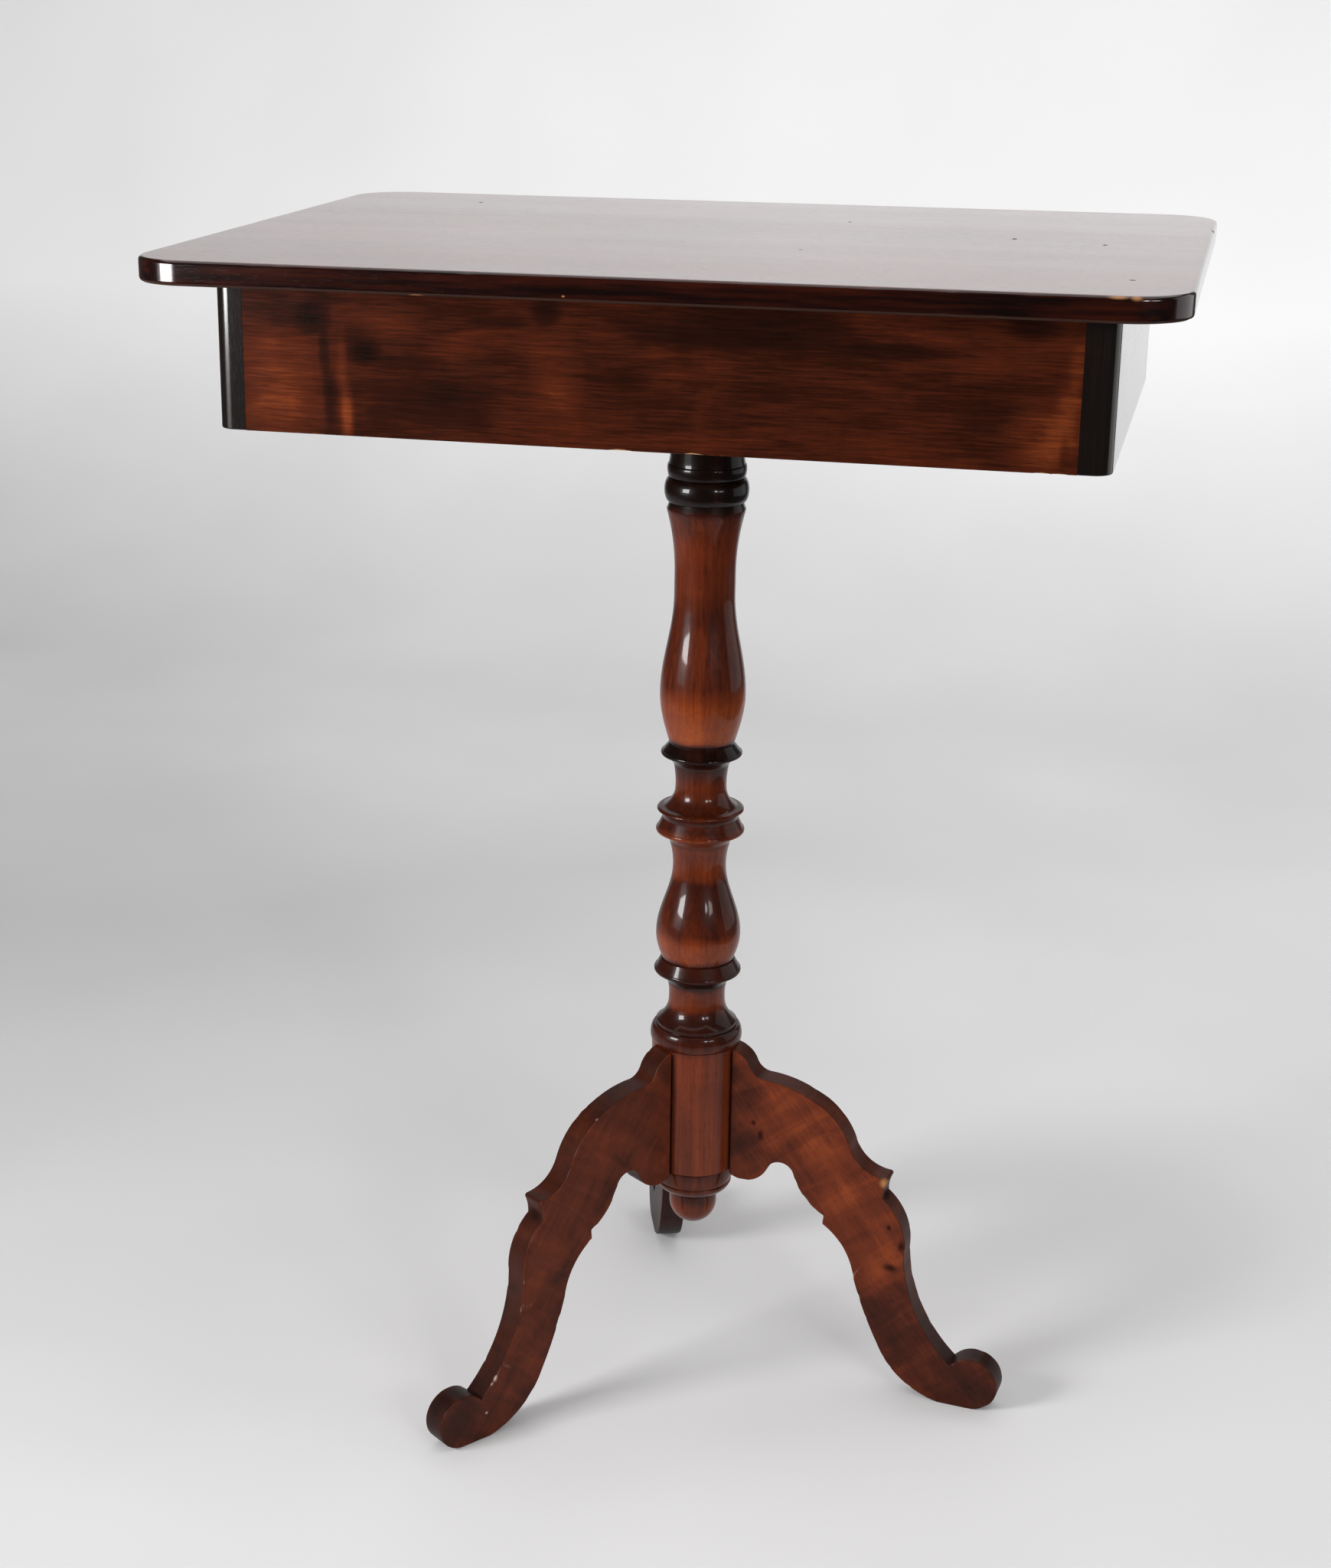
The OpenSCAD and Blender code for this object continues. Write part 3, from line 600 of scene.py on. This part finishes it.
# column: its leg block, the bearer above it, the flats for the legs and its mouldings, millimetres
column = {
    "blockLow": 142, "blockHigh": 229, "blockRadius": 29, "bearerLow": 658, "bearerTop": 680, "tenon": 15,
    "legThick": 17, "flatWide": 17.4, "flatDeep": 10, "flatRun": 2, "glueShadeFrom": 9, "glueShadeWide": 4,
    "blockSteps": 30, "neckSteps": 6,
    "lower": [
        ("round", 11.6, 28.2, 27.3, 30), ("bevel", 2.6, 26.4, 26.4), ("cove", 19, 26.13, 18.3),
        ("flare", 7.4, 18.3, 19.2), ("flare", 8.2, 19.2, 27.4), ("round", 2.8, 27.4, 27.4, 28.3),
        ("bevel", 6.4, 27.4, 24), ("swell", 17.6, 23.2, 27.4), ("ogee", 47, 27.4, 17.1),
        ("flare", 15, 17.1, 19.3), ("flare", 7.6, 19.3, 27.5), ("round", 2.8, 27.5, 27.5, 28.4),
        ("bevel", 6.6, 27.5, 24.3), ("flare", 5, 24.2, 26.8), ("round", 2.4, 26.8, 25.45, 27.7),
        ("cove", 15.8, 23.92, 16.3), ("flare", 11.2, 16.3, 17.4), ("flare", 7.8, 17.4, 25),
        ("round", 2.4, 25, 25, 25.9), ("bevel", 5.4, 25, 20.7), ("bevel", 1.9, 20.6, 20.6),
        ("swell", 30.5, 21.2, 27.1), ("ogee", 64, 27.1, 19.1)],
    "head": [
        ("flare", 39, 19.1, 24.5), ("bevel", 0.9, 24.5, 24.5), ("bevel", 4, 24.4, 23),
        ("round", 15.4, 22.9, 22.9, 26.2), ("round", 8.4, 23, 23.8, 24.5), ("bevel", 4.3, 23.6, 23),
        ("bevel", 23, 23, 23), ("flare", 12, 23, 28), ("bevel", 6, 28, 28)]}

columnLook = {
    "turn": grainAlong("Z"),
    "tones": [(0.0, (18, 7, 5)), (0.3, (62, 22, 11)), (0.55, (110, 45, 18)), (0.8, (148, 68, 27)),
              (1.0, (178, 92, 40))],
    "base": -0.20, "fibre": 0.30, "fibreSize": (18, 600, 600), "streak": 0.42, "streakSize": (5, 110, 110),
    "cloud": 0.25, "cloudSize": (14, 30, 30),
    "level": (142, 660, [  # from, to, and the tone at each height, millimetres; the low tone just under the disc, at 273, is painted shade
        (142, 0.72), (226, 0.68), (231, 0.48), (239, 0.36), (251, 0.38), (256, 0.66), (268, 0.60),
        (273, 0.18), (280, 0.32), (288, 0.36), (291, 0.80), (303, 0.78), (310, 0.52), (334, 0.45),
        (342, 0.44), (346, 0.64), (350, 0.70), (367, 0.64), (372, 0.86), (380, 0.44), (390, 0.50),
        (408, 0.62), (427, 0.10), (435, 0.12), (438, 0.86), (462, 0.80), (474, 0.54), (520, 0.50),
        (536, 0.62), (560, 0.64), (582, 0.50), (587, 0.08)]),
    "levelPull": 0.9, "rough": 0.24, "roughSwing": 0.08, "smear": 0.10, "bump": 0.12, "coat": 0.36,
    # the share of dirt and painted shade in the quirks and beside the legs
    "coatRough": 0.06, "dirtAndShade": 0.9, "specular": 0.09}


def makeColumn(finish):
    low, high = column["blockLow"], column["blockHigh"]
    lower = storyStick(column["lower"], high)
    headHeight = sum(m[1] for m in column["head"])
    head = storyStick(column["head"], column["bearerLow"] - headHeight)
    neckSteps, blockSteps = column["neckSteps"], column["blockSteps"]
    neckLow, neckHigh = lower[-1][1], head[0][1]
    neck = [(lower[-1][0], neckLow + (neckHigh - neckLow) * i / neckSteps) for i in range(1, neckSteps)]
    block = [(column["blockRadius"], low + (high - low) * i / blockSteps) for i in range(blockSteps + 1)]
    tenon = [(column["tenon"], column["bearerLow"]), (column["tenon"], column["bearerTop"])]
    places = [(0, low)] + block + lower + neck + head + tenon + [(0, column["bearerTop"])]
    piece = turnOnLathe("turned_column", places)
    seat = math.sqrt(column["blockRadius"] ** 2 - (column["legThick"] / 2) ** 2)
    wide, deep = column["flatWide"] / 2 * mm, column["flatDeep"] * mm
    for turn in legTurns:  # flats where the legs' shoulders stand
        cutter = newBlock("flat_cutter", (seat * mm, -wide, (low - column["flatRun"]) * mm),
                          (seat * mm + deep, wide, high * mm))
        cutter.data.transform(Matrix.Rotation(turn, 4, "Z"))
        flat = piece.modifiers.new("flat", "BOOLEAN")
        flat.object, flat.operation, flat.solver = cutter, "DIFFERENCE", "EXACT"
        applyAll(piece)
        bpy.data.objects.remove(cutter)
    openMesh(piece)
    bpy.ops.mesh.select_all(action="SELECT")
    bpy.ops.mesh.remove_doubles(threshold=0.01 * mm)
    putToolsDown()
    markDirtAndShade(piece, places)
    marks = piece.data.attributes["dirtAndShade"].data
    for v in piece.data.vertices:  # dark glue line and painted shade beside each leg
        if low * mm < v.co.z < high * mm:
            beside = min(abs(math.atan2(math.sin(a), math.cos(a))) * column["blockRadius"]
                         for a in (math.atan2(v.co.y, v.co.x) - turn for turn in legTurns))
            marks[v.index].value = max(0.0, 1 - max(0.0, beside - column["glueShadeFrom"]) / column["glueShadeWide"])
    smoothOff(piece, 40)
    fitPiece(piece, finish, "column", "column")


legTurns = [math.radians(a) for a in (-7, 109, 233)]  # right, rear, left
makeColumn(woodFinish("turnedMahogany", columnLook))
print("column turned")

# drop: rings, neck and half ball below the block, drawn downwards
drop = {"rings": [("round", 13, 25.03, 24.63, 26.23), ("round", 7.2, 24.23, 19.43, 24.33)], "neck": 14.8,
        "ball": 15.7, "ballDown": 30.4, "step": 0.8, "neckHigh": 1.2, "lip": 1}


def makeDrop(finish):
    rings = storyStick(drop["rings"], 0)
    ringHigh = sum(m[1] for m in drop["rings"])
    neckLow = ringHigh + drop["neckHigh"]
    lipHigh = drop["ballDown"] - drop["lip"] - neckLow
    swell = storyStick([("swell", lipHigh, drop["neck"], drop["ball"])], neckLow)
    turns = [math.radians(a) for a in range(0, 90, 5)]
    ball = [(drop["ball"] * math.cos(a), drop["ballDown"] + drop["ball"] * math.sin(a)) for a in turns]
    down = [(0, 0)] + rings + [(drop["neck"], ringHigh + drop["step"]), (drop["neck"], neckLow)] + swell[1:]
    down += ball + [(0, drop["ballDown"] + drop["ball"])]
    places = [(r, column["blockLow"] - z) for r, z in down]
    piece = turnOnLathe("turned_drop", places, 96)
    markDirtAndShade(piece, places)
    smoothOff(piece, 40)
    fitPiece(piece, finish, "column", "drop")


# the drop's tones by height; the darker tone just under the block is painted shadow of the block, with some
# dirt
dropLook = dict(columnLook, level=(90, 142, [
    (95, 0.72), (110, 0.70), (116, 0.50), (128, 0.56), (133, 0.60), (142, 0.46)]))
makeDrop(woodFinish("turnedDrop", dropLook))
print("drop turned")

# legs: sawn to a scrolled outline, places by the block's seat and by the foot scroll, millimetres and
# degrees; the normal is its part across the leg
leg = {"thick": 17, "reach": 197, "rearReach": 185, "seat": 27.73, "blockLow": 142, "blockHigh": 87,
       "scroll": 17.9, "scrollFrom": 143, "scrollSweep": 233, "scrollSteps": 32, "arris": 0.9,
       "corner": 0.7, "sharp": 50, "step": 2.0, "leastStep": 0.3, "wornMiddle": 0.3, "wornWide": 1.1,
       "clearOfSeat": 2.5, "nick": 0.7, "nickSize": 7, "nickFrom": 0.22, "sideNormal": 0.35,
       "grainSlope": -52}


def byHub(out, up):
    return Vector((leg["seat"] + out, leg["blockLow"] + up))


# places on an arc whose middle stands out by bulge to the left of the way from start to end
def arc(start, end, bulge):
    chord = end - start
    long = chord.length
    radius = (long * long / 4 + bulge * bulge) / (2 * abs(bulge))
    side = 1 if bulge > 0 else -1
    centre = (start + end) / 2 + Vector((-chord.y, chord.x)) / long * side * (abs(bulge) - radius)
    half = 2 * math.atan(2 * abs(bulge) / long)
    first = math.atan2(start.y - centre.y, start.x - centre.x)
    count = max(5, round(2 * half * radius / leg["step"]))
    turns = [first - side * 2 * half * i / count for i in range(count + 1)]
    return [centre + radius * Vector((math.cos(a), math.sin(a))) for a in turns]


def legOutline(reach):
    high, scroll = leg["blockHigh"], leg["scroll"]
    byFoot = lambda out, z: Vector((reach + out, z))
    hubTop, hubRound, hubNotch = byHub(0, high - 0.4), byHub(13.5, high - 12.5), byHub(22, high - 18.6)
    knee, shin = byHub(53, high - 26), byHub(82.8, 29.6)
    spur, spurTip, spurNotch = byHub(106.3, 12.6), byHub(107.4, 9.8), byHub(105.3, -1.5)
    calf, padInner = byFoot(-48, 105), byFoot(-21, 0)
    ankle, calfInner = byFoot(-63.5, 34), byFoot(-81.8, 80)
    stepLow, stepHigh = byHub(65.2, -27.4), byHub(65.8, -21.4)
    archOuter, archInner, hubLow = byHub(44, 5.4), byHub(25.6, 4), byHub(0, -3)
    steps = leg["scrollSteps"]
    turns = [math.radians(leg["scrollFrom"] - leg["scrollSweep"] * i / steps) for i in range(steps + 1)]
    foot = [byFoot(0, scroll) + scroll * Vector((math.cos(a), math.sin(a))) for a in turns]
    parts = [arc(hubTop, hubRound, 2.4), arc(hubRound, hubNotch, -1.3), arc(hubNotch, knee, 1.7),
             arc(knee, shin, 4.8), arc(shin, spur, -4.4), arc(spur, spurTip, 0.9),
             arc(spurTip, spurNotch, -0.7), arc(spurNotch, calf, 4.7), arc(calf, foot[0], -8.8), foot,
             arc(padInner, ankle, 6.8), arc(ankle, calfInner, 1.2), arc(calfInner, stepLow, -4.6),
             arc(stepHigh, archOuter, 3.5), arc(archOuter, archInner, -6.6), arc(archInner, hubLow, 6)]
    line = []
    for part in parts:
        line += [p for i, p in enumerate(part) if not line or i or (p - line[-1]).length > leg["leastStep"]]
    return line


def makeLeg(name, reach):
    half = leg["thick"] / 2 * mm
    piece = drawLine(name, [Vector((p.x * mm, -half, p.y * mm)) for p in legOutline(reach)])
    bpy.ops.mesh.select_mode(type="VERT")
    bpy.ops.mesh.select_all(action="SELECT")
    bpy.ops.mesh.edge_face_add()
    bpy.ops.mesh.extrude_region_move(TRANSFORM_OT_translate={"value": (0, 2 * half, 0)})
    bpy.ops.mesh.select_all(action="SELECT")
    bpy.ops.mesh.normals_make_consistent(inside=False)
    seat = leg["seat"] * mm
    sharp = lambda e: e.calc_face_angle(0) > math.radians(leg["sharp"]) and middle(e).x > seat + 1 * mm
    pick("EDGE", lambda e: along(e, 1) and sharp(e))
    bpy.ops.mesh.bevel(offset=leg["corner"] * mm, segments=2, affect="EDGES")
    pick("EDGE", lambda e: near(abs(e.verts[0].co.y), half) and near(e.verts[0].co.y, e.verts[1].co.y))
    bpy.ops.mesh.bevel(offset=leg["arris"] * mm, segments=3, affect="EDGES", clamp_overlap=False)
    putToolsDown()

    def arrisAt(p):
        across = half - abs(p.y)
        if across > leg["arris"] * mm * 1.05 or p.x < seat + leg["clearOfSeat"] * mm:
            return 0.0
        return 1.0 - abs(across - leg["wornMiddle"] * mm) / (leg["wornWide"] * mm)

    markPoints(piece, "arris", lambda p: max(0.0, arrisAt(p)))
    markFaces(piece, "sawn", lambda f: 1.0 if abs(f.normal.y) < leg["sideNormal"] else 0.0)
    wearArrises(piece, "arris", leg["nick"] * mm, leg["nickSize"] * mm, leg["nickFrom"])
    smoothOff(piece, 30)
    return piece


# a leg's own places are along it, across it and up, before it is turned to its side of the block
def onLeg(turn, out, side, z):
    return (out * math.cos(turn) - side * math.sin(turn), out * math.sin(turn) + side * math.cos(turn), z)


def legLook(turn, facts):
    slope = Matrix.Rotation(math.radians(leg["grainSlope"]), 3, "Y") @ Matrix.Rotation(-turn, 3, "Z")
    look = {
        "turn": slope.to_euler(), "tones": [(0.0, (28, 10, 5)), (0.3, (64, 25, 12)), (0.55, (100, 42, 20)),
                                            (0.8, (134, 62, 28)), (1.0, (162, 84, 42))],
        "base": -0.36, "fibre": 0.30, "streak": 0.36, "streakSize": (7, 80, 80), "waver": 5,
        "cloud": 0.56, "cloudSize": (22, 34, 34), "shimmer": 0.44, "shimmerSize": (90, 16, 16),
        "rough": 0.34, "smear": 0.16, "bump": 0.18, "coat": 0.12, "coatRough": 0.22, "specular": 0.09,
        "sawn": 0.6, "sawnTone": (132, 130, 132), "sawnRough": 0.04,
        "worn": 0.8, "wornFrom": 0.42, "wornTo": 0.56, "bareTone": (190, 150, 122)}
    look.update(facts["own"])
    look["patches"] = [(onLeg(turn, *place), size, pull) for place, size, pull in facts["patches"]]
    look["marks"] = [(onLeg(turn, *place), size) for place, size in facts["marks"]]
    look["paleMarks"] = [(onLeg(turn, *place), size) for place, size in facts["paleMarks"]]
    return look


frontLeg, rearLeg = makeLeg("front_leg", leg["reach"]), makeLeg("rear_leg", leg["rearReach"])
# the last mark of each leg, 134 out and about 141 up, darkens the spur's notch: painted shade
legFacts = {
    "right": {
        "patches": [((68, -8, 190), (36, 30, 26), 0.20), ((88, -8, 164), (24, 30, 20), 0.14),
                    ((101, -8, 134), (24, 30, 22), 0.16), ((134, -8, 99), (20, 30, 26), 0.16),
                    ((42, -8, 200), (16, 30, 26), -0.14), ((40, -8, 160), (22, 30, 24), -0.14),
                    ((150, -8, 50), (46, 30, 36), -0.22), ((196, 0, 16), (50, 40, 44), -0.30)],
        "marks": [((49, -8.5, 171), (3, 4, 6)), ((44, -8.5, 179), (2.6, 4, 3)),
                  ((140, -8.5, 92), (8, 5, 4.5)), ((147, -8.5, 109), (3.6, 5, 6)),
                  ((138, -8.5, 121), (2.4, 4, 3)), ((134, 0, 141), (6, 10, 4))],
        "paleMarks": [((134, -8, 152), (4.5, 5, 5))], "own": {}},
    # the rear leg's darker base and the large dark patch round its foot are painted shade on its side turned
    # from the light
    "rear": {
        "patches": [((176, 0, 30), (60, 60, 60), -0.3)], "marks": [((134, 0, 141), (10, 10, 4))],
        "paleMarks": [], "own": {"base": -0.62}},
    "left": {
        "patches": [((76, 8, 180), (36, 36, 30), 0.10), ((140, 8, 120), (30, 30, 36), 0.10),
                    ((180, 8, 60), (46, 46, 46), -0.06), ((196, 0, 16), (46, 46, 40), -0.24)],
        "marks": [((134, 0, 142), (10, 10, 6))],
        "paleMarks": [((108, 8.5, 188), (2, 2, 6)), ((104, 8.5, 194), (2, 2, 3)),
                      ((91, 8.5, 199), (3, 3, 1.4)), ((139, 8.5, 157), (2.6, 2.6, 2)),
                      ((141, 8.5, 140), (2.6, 2.6, 2.4)), ((172, 8.5, 42), (2.4, 2.4, 5)),
                      ((175, 8.5, 38), (2, 2, 2.4)), ((215, 8.5, 33), (1.6, 1.6, 1.6)),
                      ((179, 8.5, 18), (1.3, 1.3, 1.3))],
        "own": {"sawn": 0.85, "paleTone": (206, 186, 176)}}}
for (side, facts), turn in zip(legFacts.items(), legTurns):
    piece = copyOf(rearLeg if side == "rear" else frontLeg, "scrolled_leg_" + side, turn)
    fitPiece(piece, woodFinish("sawnMahogany_" + side, legLook(turn, facts)), "legs", "leg_" + side)
bpy.data.objects.remove(frontLeg)
bpy.data.objects.remove(rearLeg)
print("legs cut")

# hidden softwood, screws and wedge keep their solids and get their own finishes
pineLook = {
    "tones": [(0.0, (112, 78, 44)), (0.4, (156, 116, 70)), (0.7, (184, 144, 94)), (1.0, (206, 172, 122))],
    "base": -0.05, "fibre": 0.25, "streak": 0.62, "streakSize": (2.2, 85, 85), "cloud": 0.25,
    "shimmer": 0.02, "pore": 0.2, "rough": 0.52, "roughSwing": 0.15, "smear": 0.12, "bump": 0.4}
pine = {axis: woodFinish("planedPine" + axis, dict(pineLook, turn=grainAlong(axis))) for axis in "XYZ"}
beech = woodFinish("splitBeech", dict(pineLook, turn=grainAlong("X"), tones=[
    (0.0, (128, 92, 62)), (0.5, (170, 128, 92)), (1.0, (196, 156, 118))]))


def steelFinish():
    material = bpy.data.materials.new("dulledSteel")
    material.use_nodes = True
    tree = material.node_tree
    tree.nodes.clear()
    spot = put(tree, "TexCoord").outputs["Object"]
    tarnish = mottle(tree, spot, 700.0, 4.0).outputs["Fac"]
    colour = ramp(tree, tarnish, [(0.35, (66, 58, 52)), (0.65, (128, 124, 120))])
    rough = remap(tree, tarnish, 0.3, 0.7, 0.55, 0.32)
    shader = put(tree, "BsdfPrincipled", {"Base Color": colour, "Roughness": rough, "Metallic": 1.0})
    end = put(tree, "OutputMaterial")
    tree.links.new(shader.outputs[0], end.inputs[0])
    return material


hidden = {"rail_front": pine["X"], "rail_rear": pine["X"], "rail_left": pine["Y"], "rail_right": pine["Y"],
          "corner_blocks": pine["Z"], "top_blocks": pine["X"], "bearer": pine["Y"],
          "bearer_blocks": pine["X"], "tenon_wedge": beech, "top_screws": steelFinish()}
for node, finish in hidden.items():
    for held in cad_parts[node].material_slots:
        held.material = finish
print("hidden pieces finished")


# stage: a pale floor that sweeps up into the backdrop, which glows a little with height and to the
# right, and painted shade darkens the floor to the left and towards the front; lengths in metres, and pairs
# say where a change begins and ends
stage = {"front": -0.8, "bend": 1.5, "radius": 0.9, "wall": 3.4, "left": -1.95, "right": 0.75, "steps": 24,
         "tones": [(0.3, (214, 213, 214)), (0.7, (224, 223, 224))], "mottleScale": 2.2,
         "glow": 0.29, "glowUp": (0.0, 0.40), "glowAbove": 0.165, "above": (0.85, 1.15),
         "glowRight": 0.06, "rightwards": (-1.4, 0.3), "dimLeft": 0.70, "leftwards": (-0.9, 0.45),
         "backwards": (0.5, 1.4), "dimFront": 0.3, "frontwards": (-0.78, -0.28)}


def makeSweep():
    places = [Vector((0, stage["front"], 0)), Vector((0, stage["bend"], 0))]
    centre = Vector((0, stage["bend"], stage["radius"]))
    for i in range(1, stage["steps"] + 1):
        a = quarter * i / stage["steps"]
        places.append(centre + stage["radius"] * Vector((0, math.sin(a), -math.cos(a))))
    places.append(Vector((0, stage["bend"] + stage["radius"], stage["wall"])))
    sweep = drawLine("pale_sweep", [p + Vector((stage["left"], 0, 0)) for p in places])
    across = (stage["right"] - stage["left"], 0, 0)
    bpy.ops.mesh.select_all(action="SELECT")
    bpy.ops.mesh.extrude_region_move(TRANSFORM_OT_translate={"value": across})
    bpy.ops.mesh.select_all(action="SELECT")
    bpy.ops.mesh.normals_make_consistent(inside=False)
    takeUp(sweep)
    bpy.ops.object.shade_smooth()
    sweep.data.materials.clear()
    sweep.data.materials.append(paperFinish())


def paperFinish():
    paper = bpy.data.materials.new("palePaper")
    paper.use_nodes = True
    tree = paper.node_tree
    tree.nodes.clear()
    spot = put(tree, "TexCoord").outputs["Object"]
    tone = ramp(tree, mottle(tree, spot, stage["mottleScale"]).outputs["Fac"], stage["tones"])
    x, y, z = put(tree, "SeparateXYZ", {0: spot}).outputs
    # painted shade: the floor darker to the left and towards the front
    dim = maths(tree, "MAXIMUM", remap(tree, x, *stage["leftwards"], stage["dimLeft"], 1.0),
                remap(tree, y, *stage["backwards"], stage["dimLeft"], 1.0))
    dim = maths(tree, "MULTIPLY", dim, remap(tree, y, *stage["frontwards"], stage["dimFront"], 1.0))
    tone = blend(tree, "MULTIPLY", 1.0, tone, put(tree, "CombineXYZ", {0: dim, 1: dim, 2: dim}).outputs[0])
    glow = remap(tree, z, *stage["glowUp"], 0.0, stage["glow"], smooth=False)
    glow = maths(tree, "SUBTRACT", glow, remap(tree, z, *stage["above"], 0.0, stage["glowAbove"]))
    glow = maths(tree, "ADD", glow, remap(tree, x, *stage["rightwards"], 0.0, stage["glowRight"]))
    seen = put(tree, "LightPath").outputs
    direct = maths(tree, "ADD", seen["Is Camera Ray"], seen["Is Glossy Ray"])
    direct = maths(tree, "ADD", direct, seen["Is Transmission Ray"], clamp=True)
    shader = put(tree, "BsdfPrincipled", {
        "Base Color": tone, "Roughness": 0.75, "Specular IOR Level": 0.2, "Emission Color": (1, 1, 1, 1),
        "Emission Strength": maths(tree, "MULTIPLY", glow, direct)})
    end = put(tree, "OutputMaterial")
    tree.links.new(shader.outputs[0], end.inputs[0])
    return paper


makeSweep()

# lamps: place, the point each looks at, width and height in metres, watts
lamps = {
    "overhead": ((0.0, 0.5, 3.0), (0, 0.5, 0), 4.0, 4.0, 58),
    "leftBox": ((-0.97, -0.94, 0.76), (0, 0, 0.6), 0.46, 0.40, 17),
    "leftSheet": ((-1.62, -1.35, 0.80), (0, 0, 0.6), 0.9, 1.1, 4),
    "rightBox": ((1.35, -1.75, 1.15), (0, 0, 0.5), 0.28, 0.4, 8),
    "rightStrip": ((1.85, -1.45, 1.1), (0, 0, 0.5), 0.5, 0.4, 6),
    "rightSheet": ((1.85, 0.85, 0.95), (0, 0, 0.6), 2.0, 1.9, 8.5)}
for name, (place, target, width, height, watts) in lamps.items():
    putToolsDown()
    bpy.ops.object.light_add(type="AREA", location=place)
    lamp = bpy.context.object
    lamp.name = name
    lamp.rotation_euler = (Vector(target) - Vector(place)).to_track_quat("-Z", "Y").to_euler()
    lamp.data.shape, lamp.data.size, lamp.data.size_y = "RECTANGLE", width, height
    lamp.data.energy = watts

room = {"light": 0.22, "mirrored": 0.05}  # strengths; its far side is dark in reflections
world = bpy.data.worlds.new("greyRoom")
world.use_nodes = True
air = world.node_tree
reflected = put(air, "LightPath").outputs["Is Glossy Ray"]
strength = maths(air, "MULTIPLY_ADD", reflected, room["mirrored"] - room["light"], room["light"])
air.nodes["Background"].inputs[0].default_value = (1, 1, 1, 1)
air.links.new(strength, air.nodes["Background"].inputs[1])
world.cycles.sampling_method = "NONE"
bpy.context.scene.world = world

# camera at the photograph's place: angles in radians, place in metres, focal length, centre and size
# in the photograph's pixels, sensor in millimetres
camera = {"place": (0.32465, -1.52815, 0.91968), "yaw": 0.2595, "pitch": 0.3157, "roll": 0.0042,
          "focal": 3360.33, "centre": (755.70, 1013.71), "size": (1739, 2048), "sensor": 36}


def makeCamera():
    yaw, pitch, roll = camera["yaw"], camera["pitch"], camera["roll"]
    forward = Vector((-math.sin(yaw) * math.cos(pitch), math.cos(yaw) * math.cos(pitch), -math.sin(pitch)))
    right = Vector((math.cos(yaw), math.sin(yaw), 0))
    up = right.cross(forward)
    right, up = (math.cos(roll) * right + math.sin(roll) * up, math.cos(roll) * up - math.sin(roll) * right)
    putToolsDown()
    bpy.ops.object.camera_add(location=camera["place"])
    eye = bpy.context.object
    eye.name = "photoCamera"
    eye.rotation_mode = "QUATERNION"
    eye.rotation_quaternion = Matrix((right, up, -forward)).transposed().to_quaternion()
    wide, tall = camera["size"]
    eye.data.sensor_fit, eye.data.sensor_width = "AUTO", camera["sensor"]
    eye.data.lens = camera["focal"] / tall * camera["sensor"]
    eye.data.shift_x = (wide / 2 - camera["centre"][0]) / tall
    eye.data.shift_y = (camera["centre"][1] - tall / 2) / tall
    eye.data.dof.use_dof = False
    bpy.context.scene.camera = eye


makeCamera()
bpy.context.scene.view_settings.view_transform = "Standard"
print("stage, lamps and camera set")

putToolsDown()
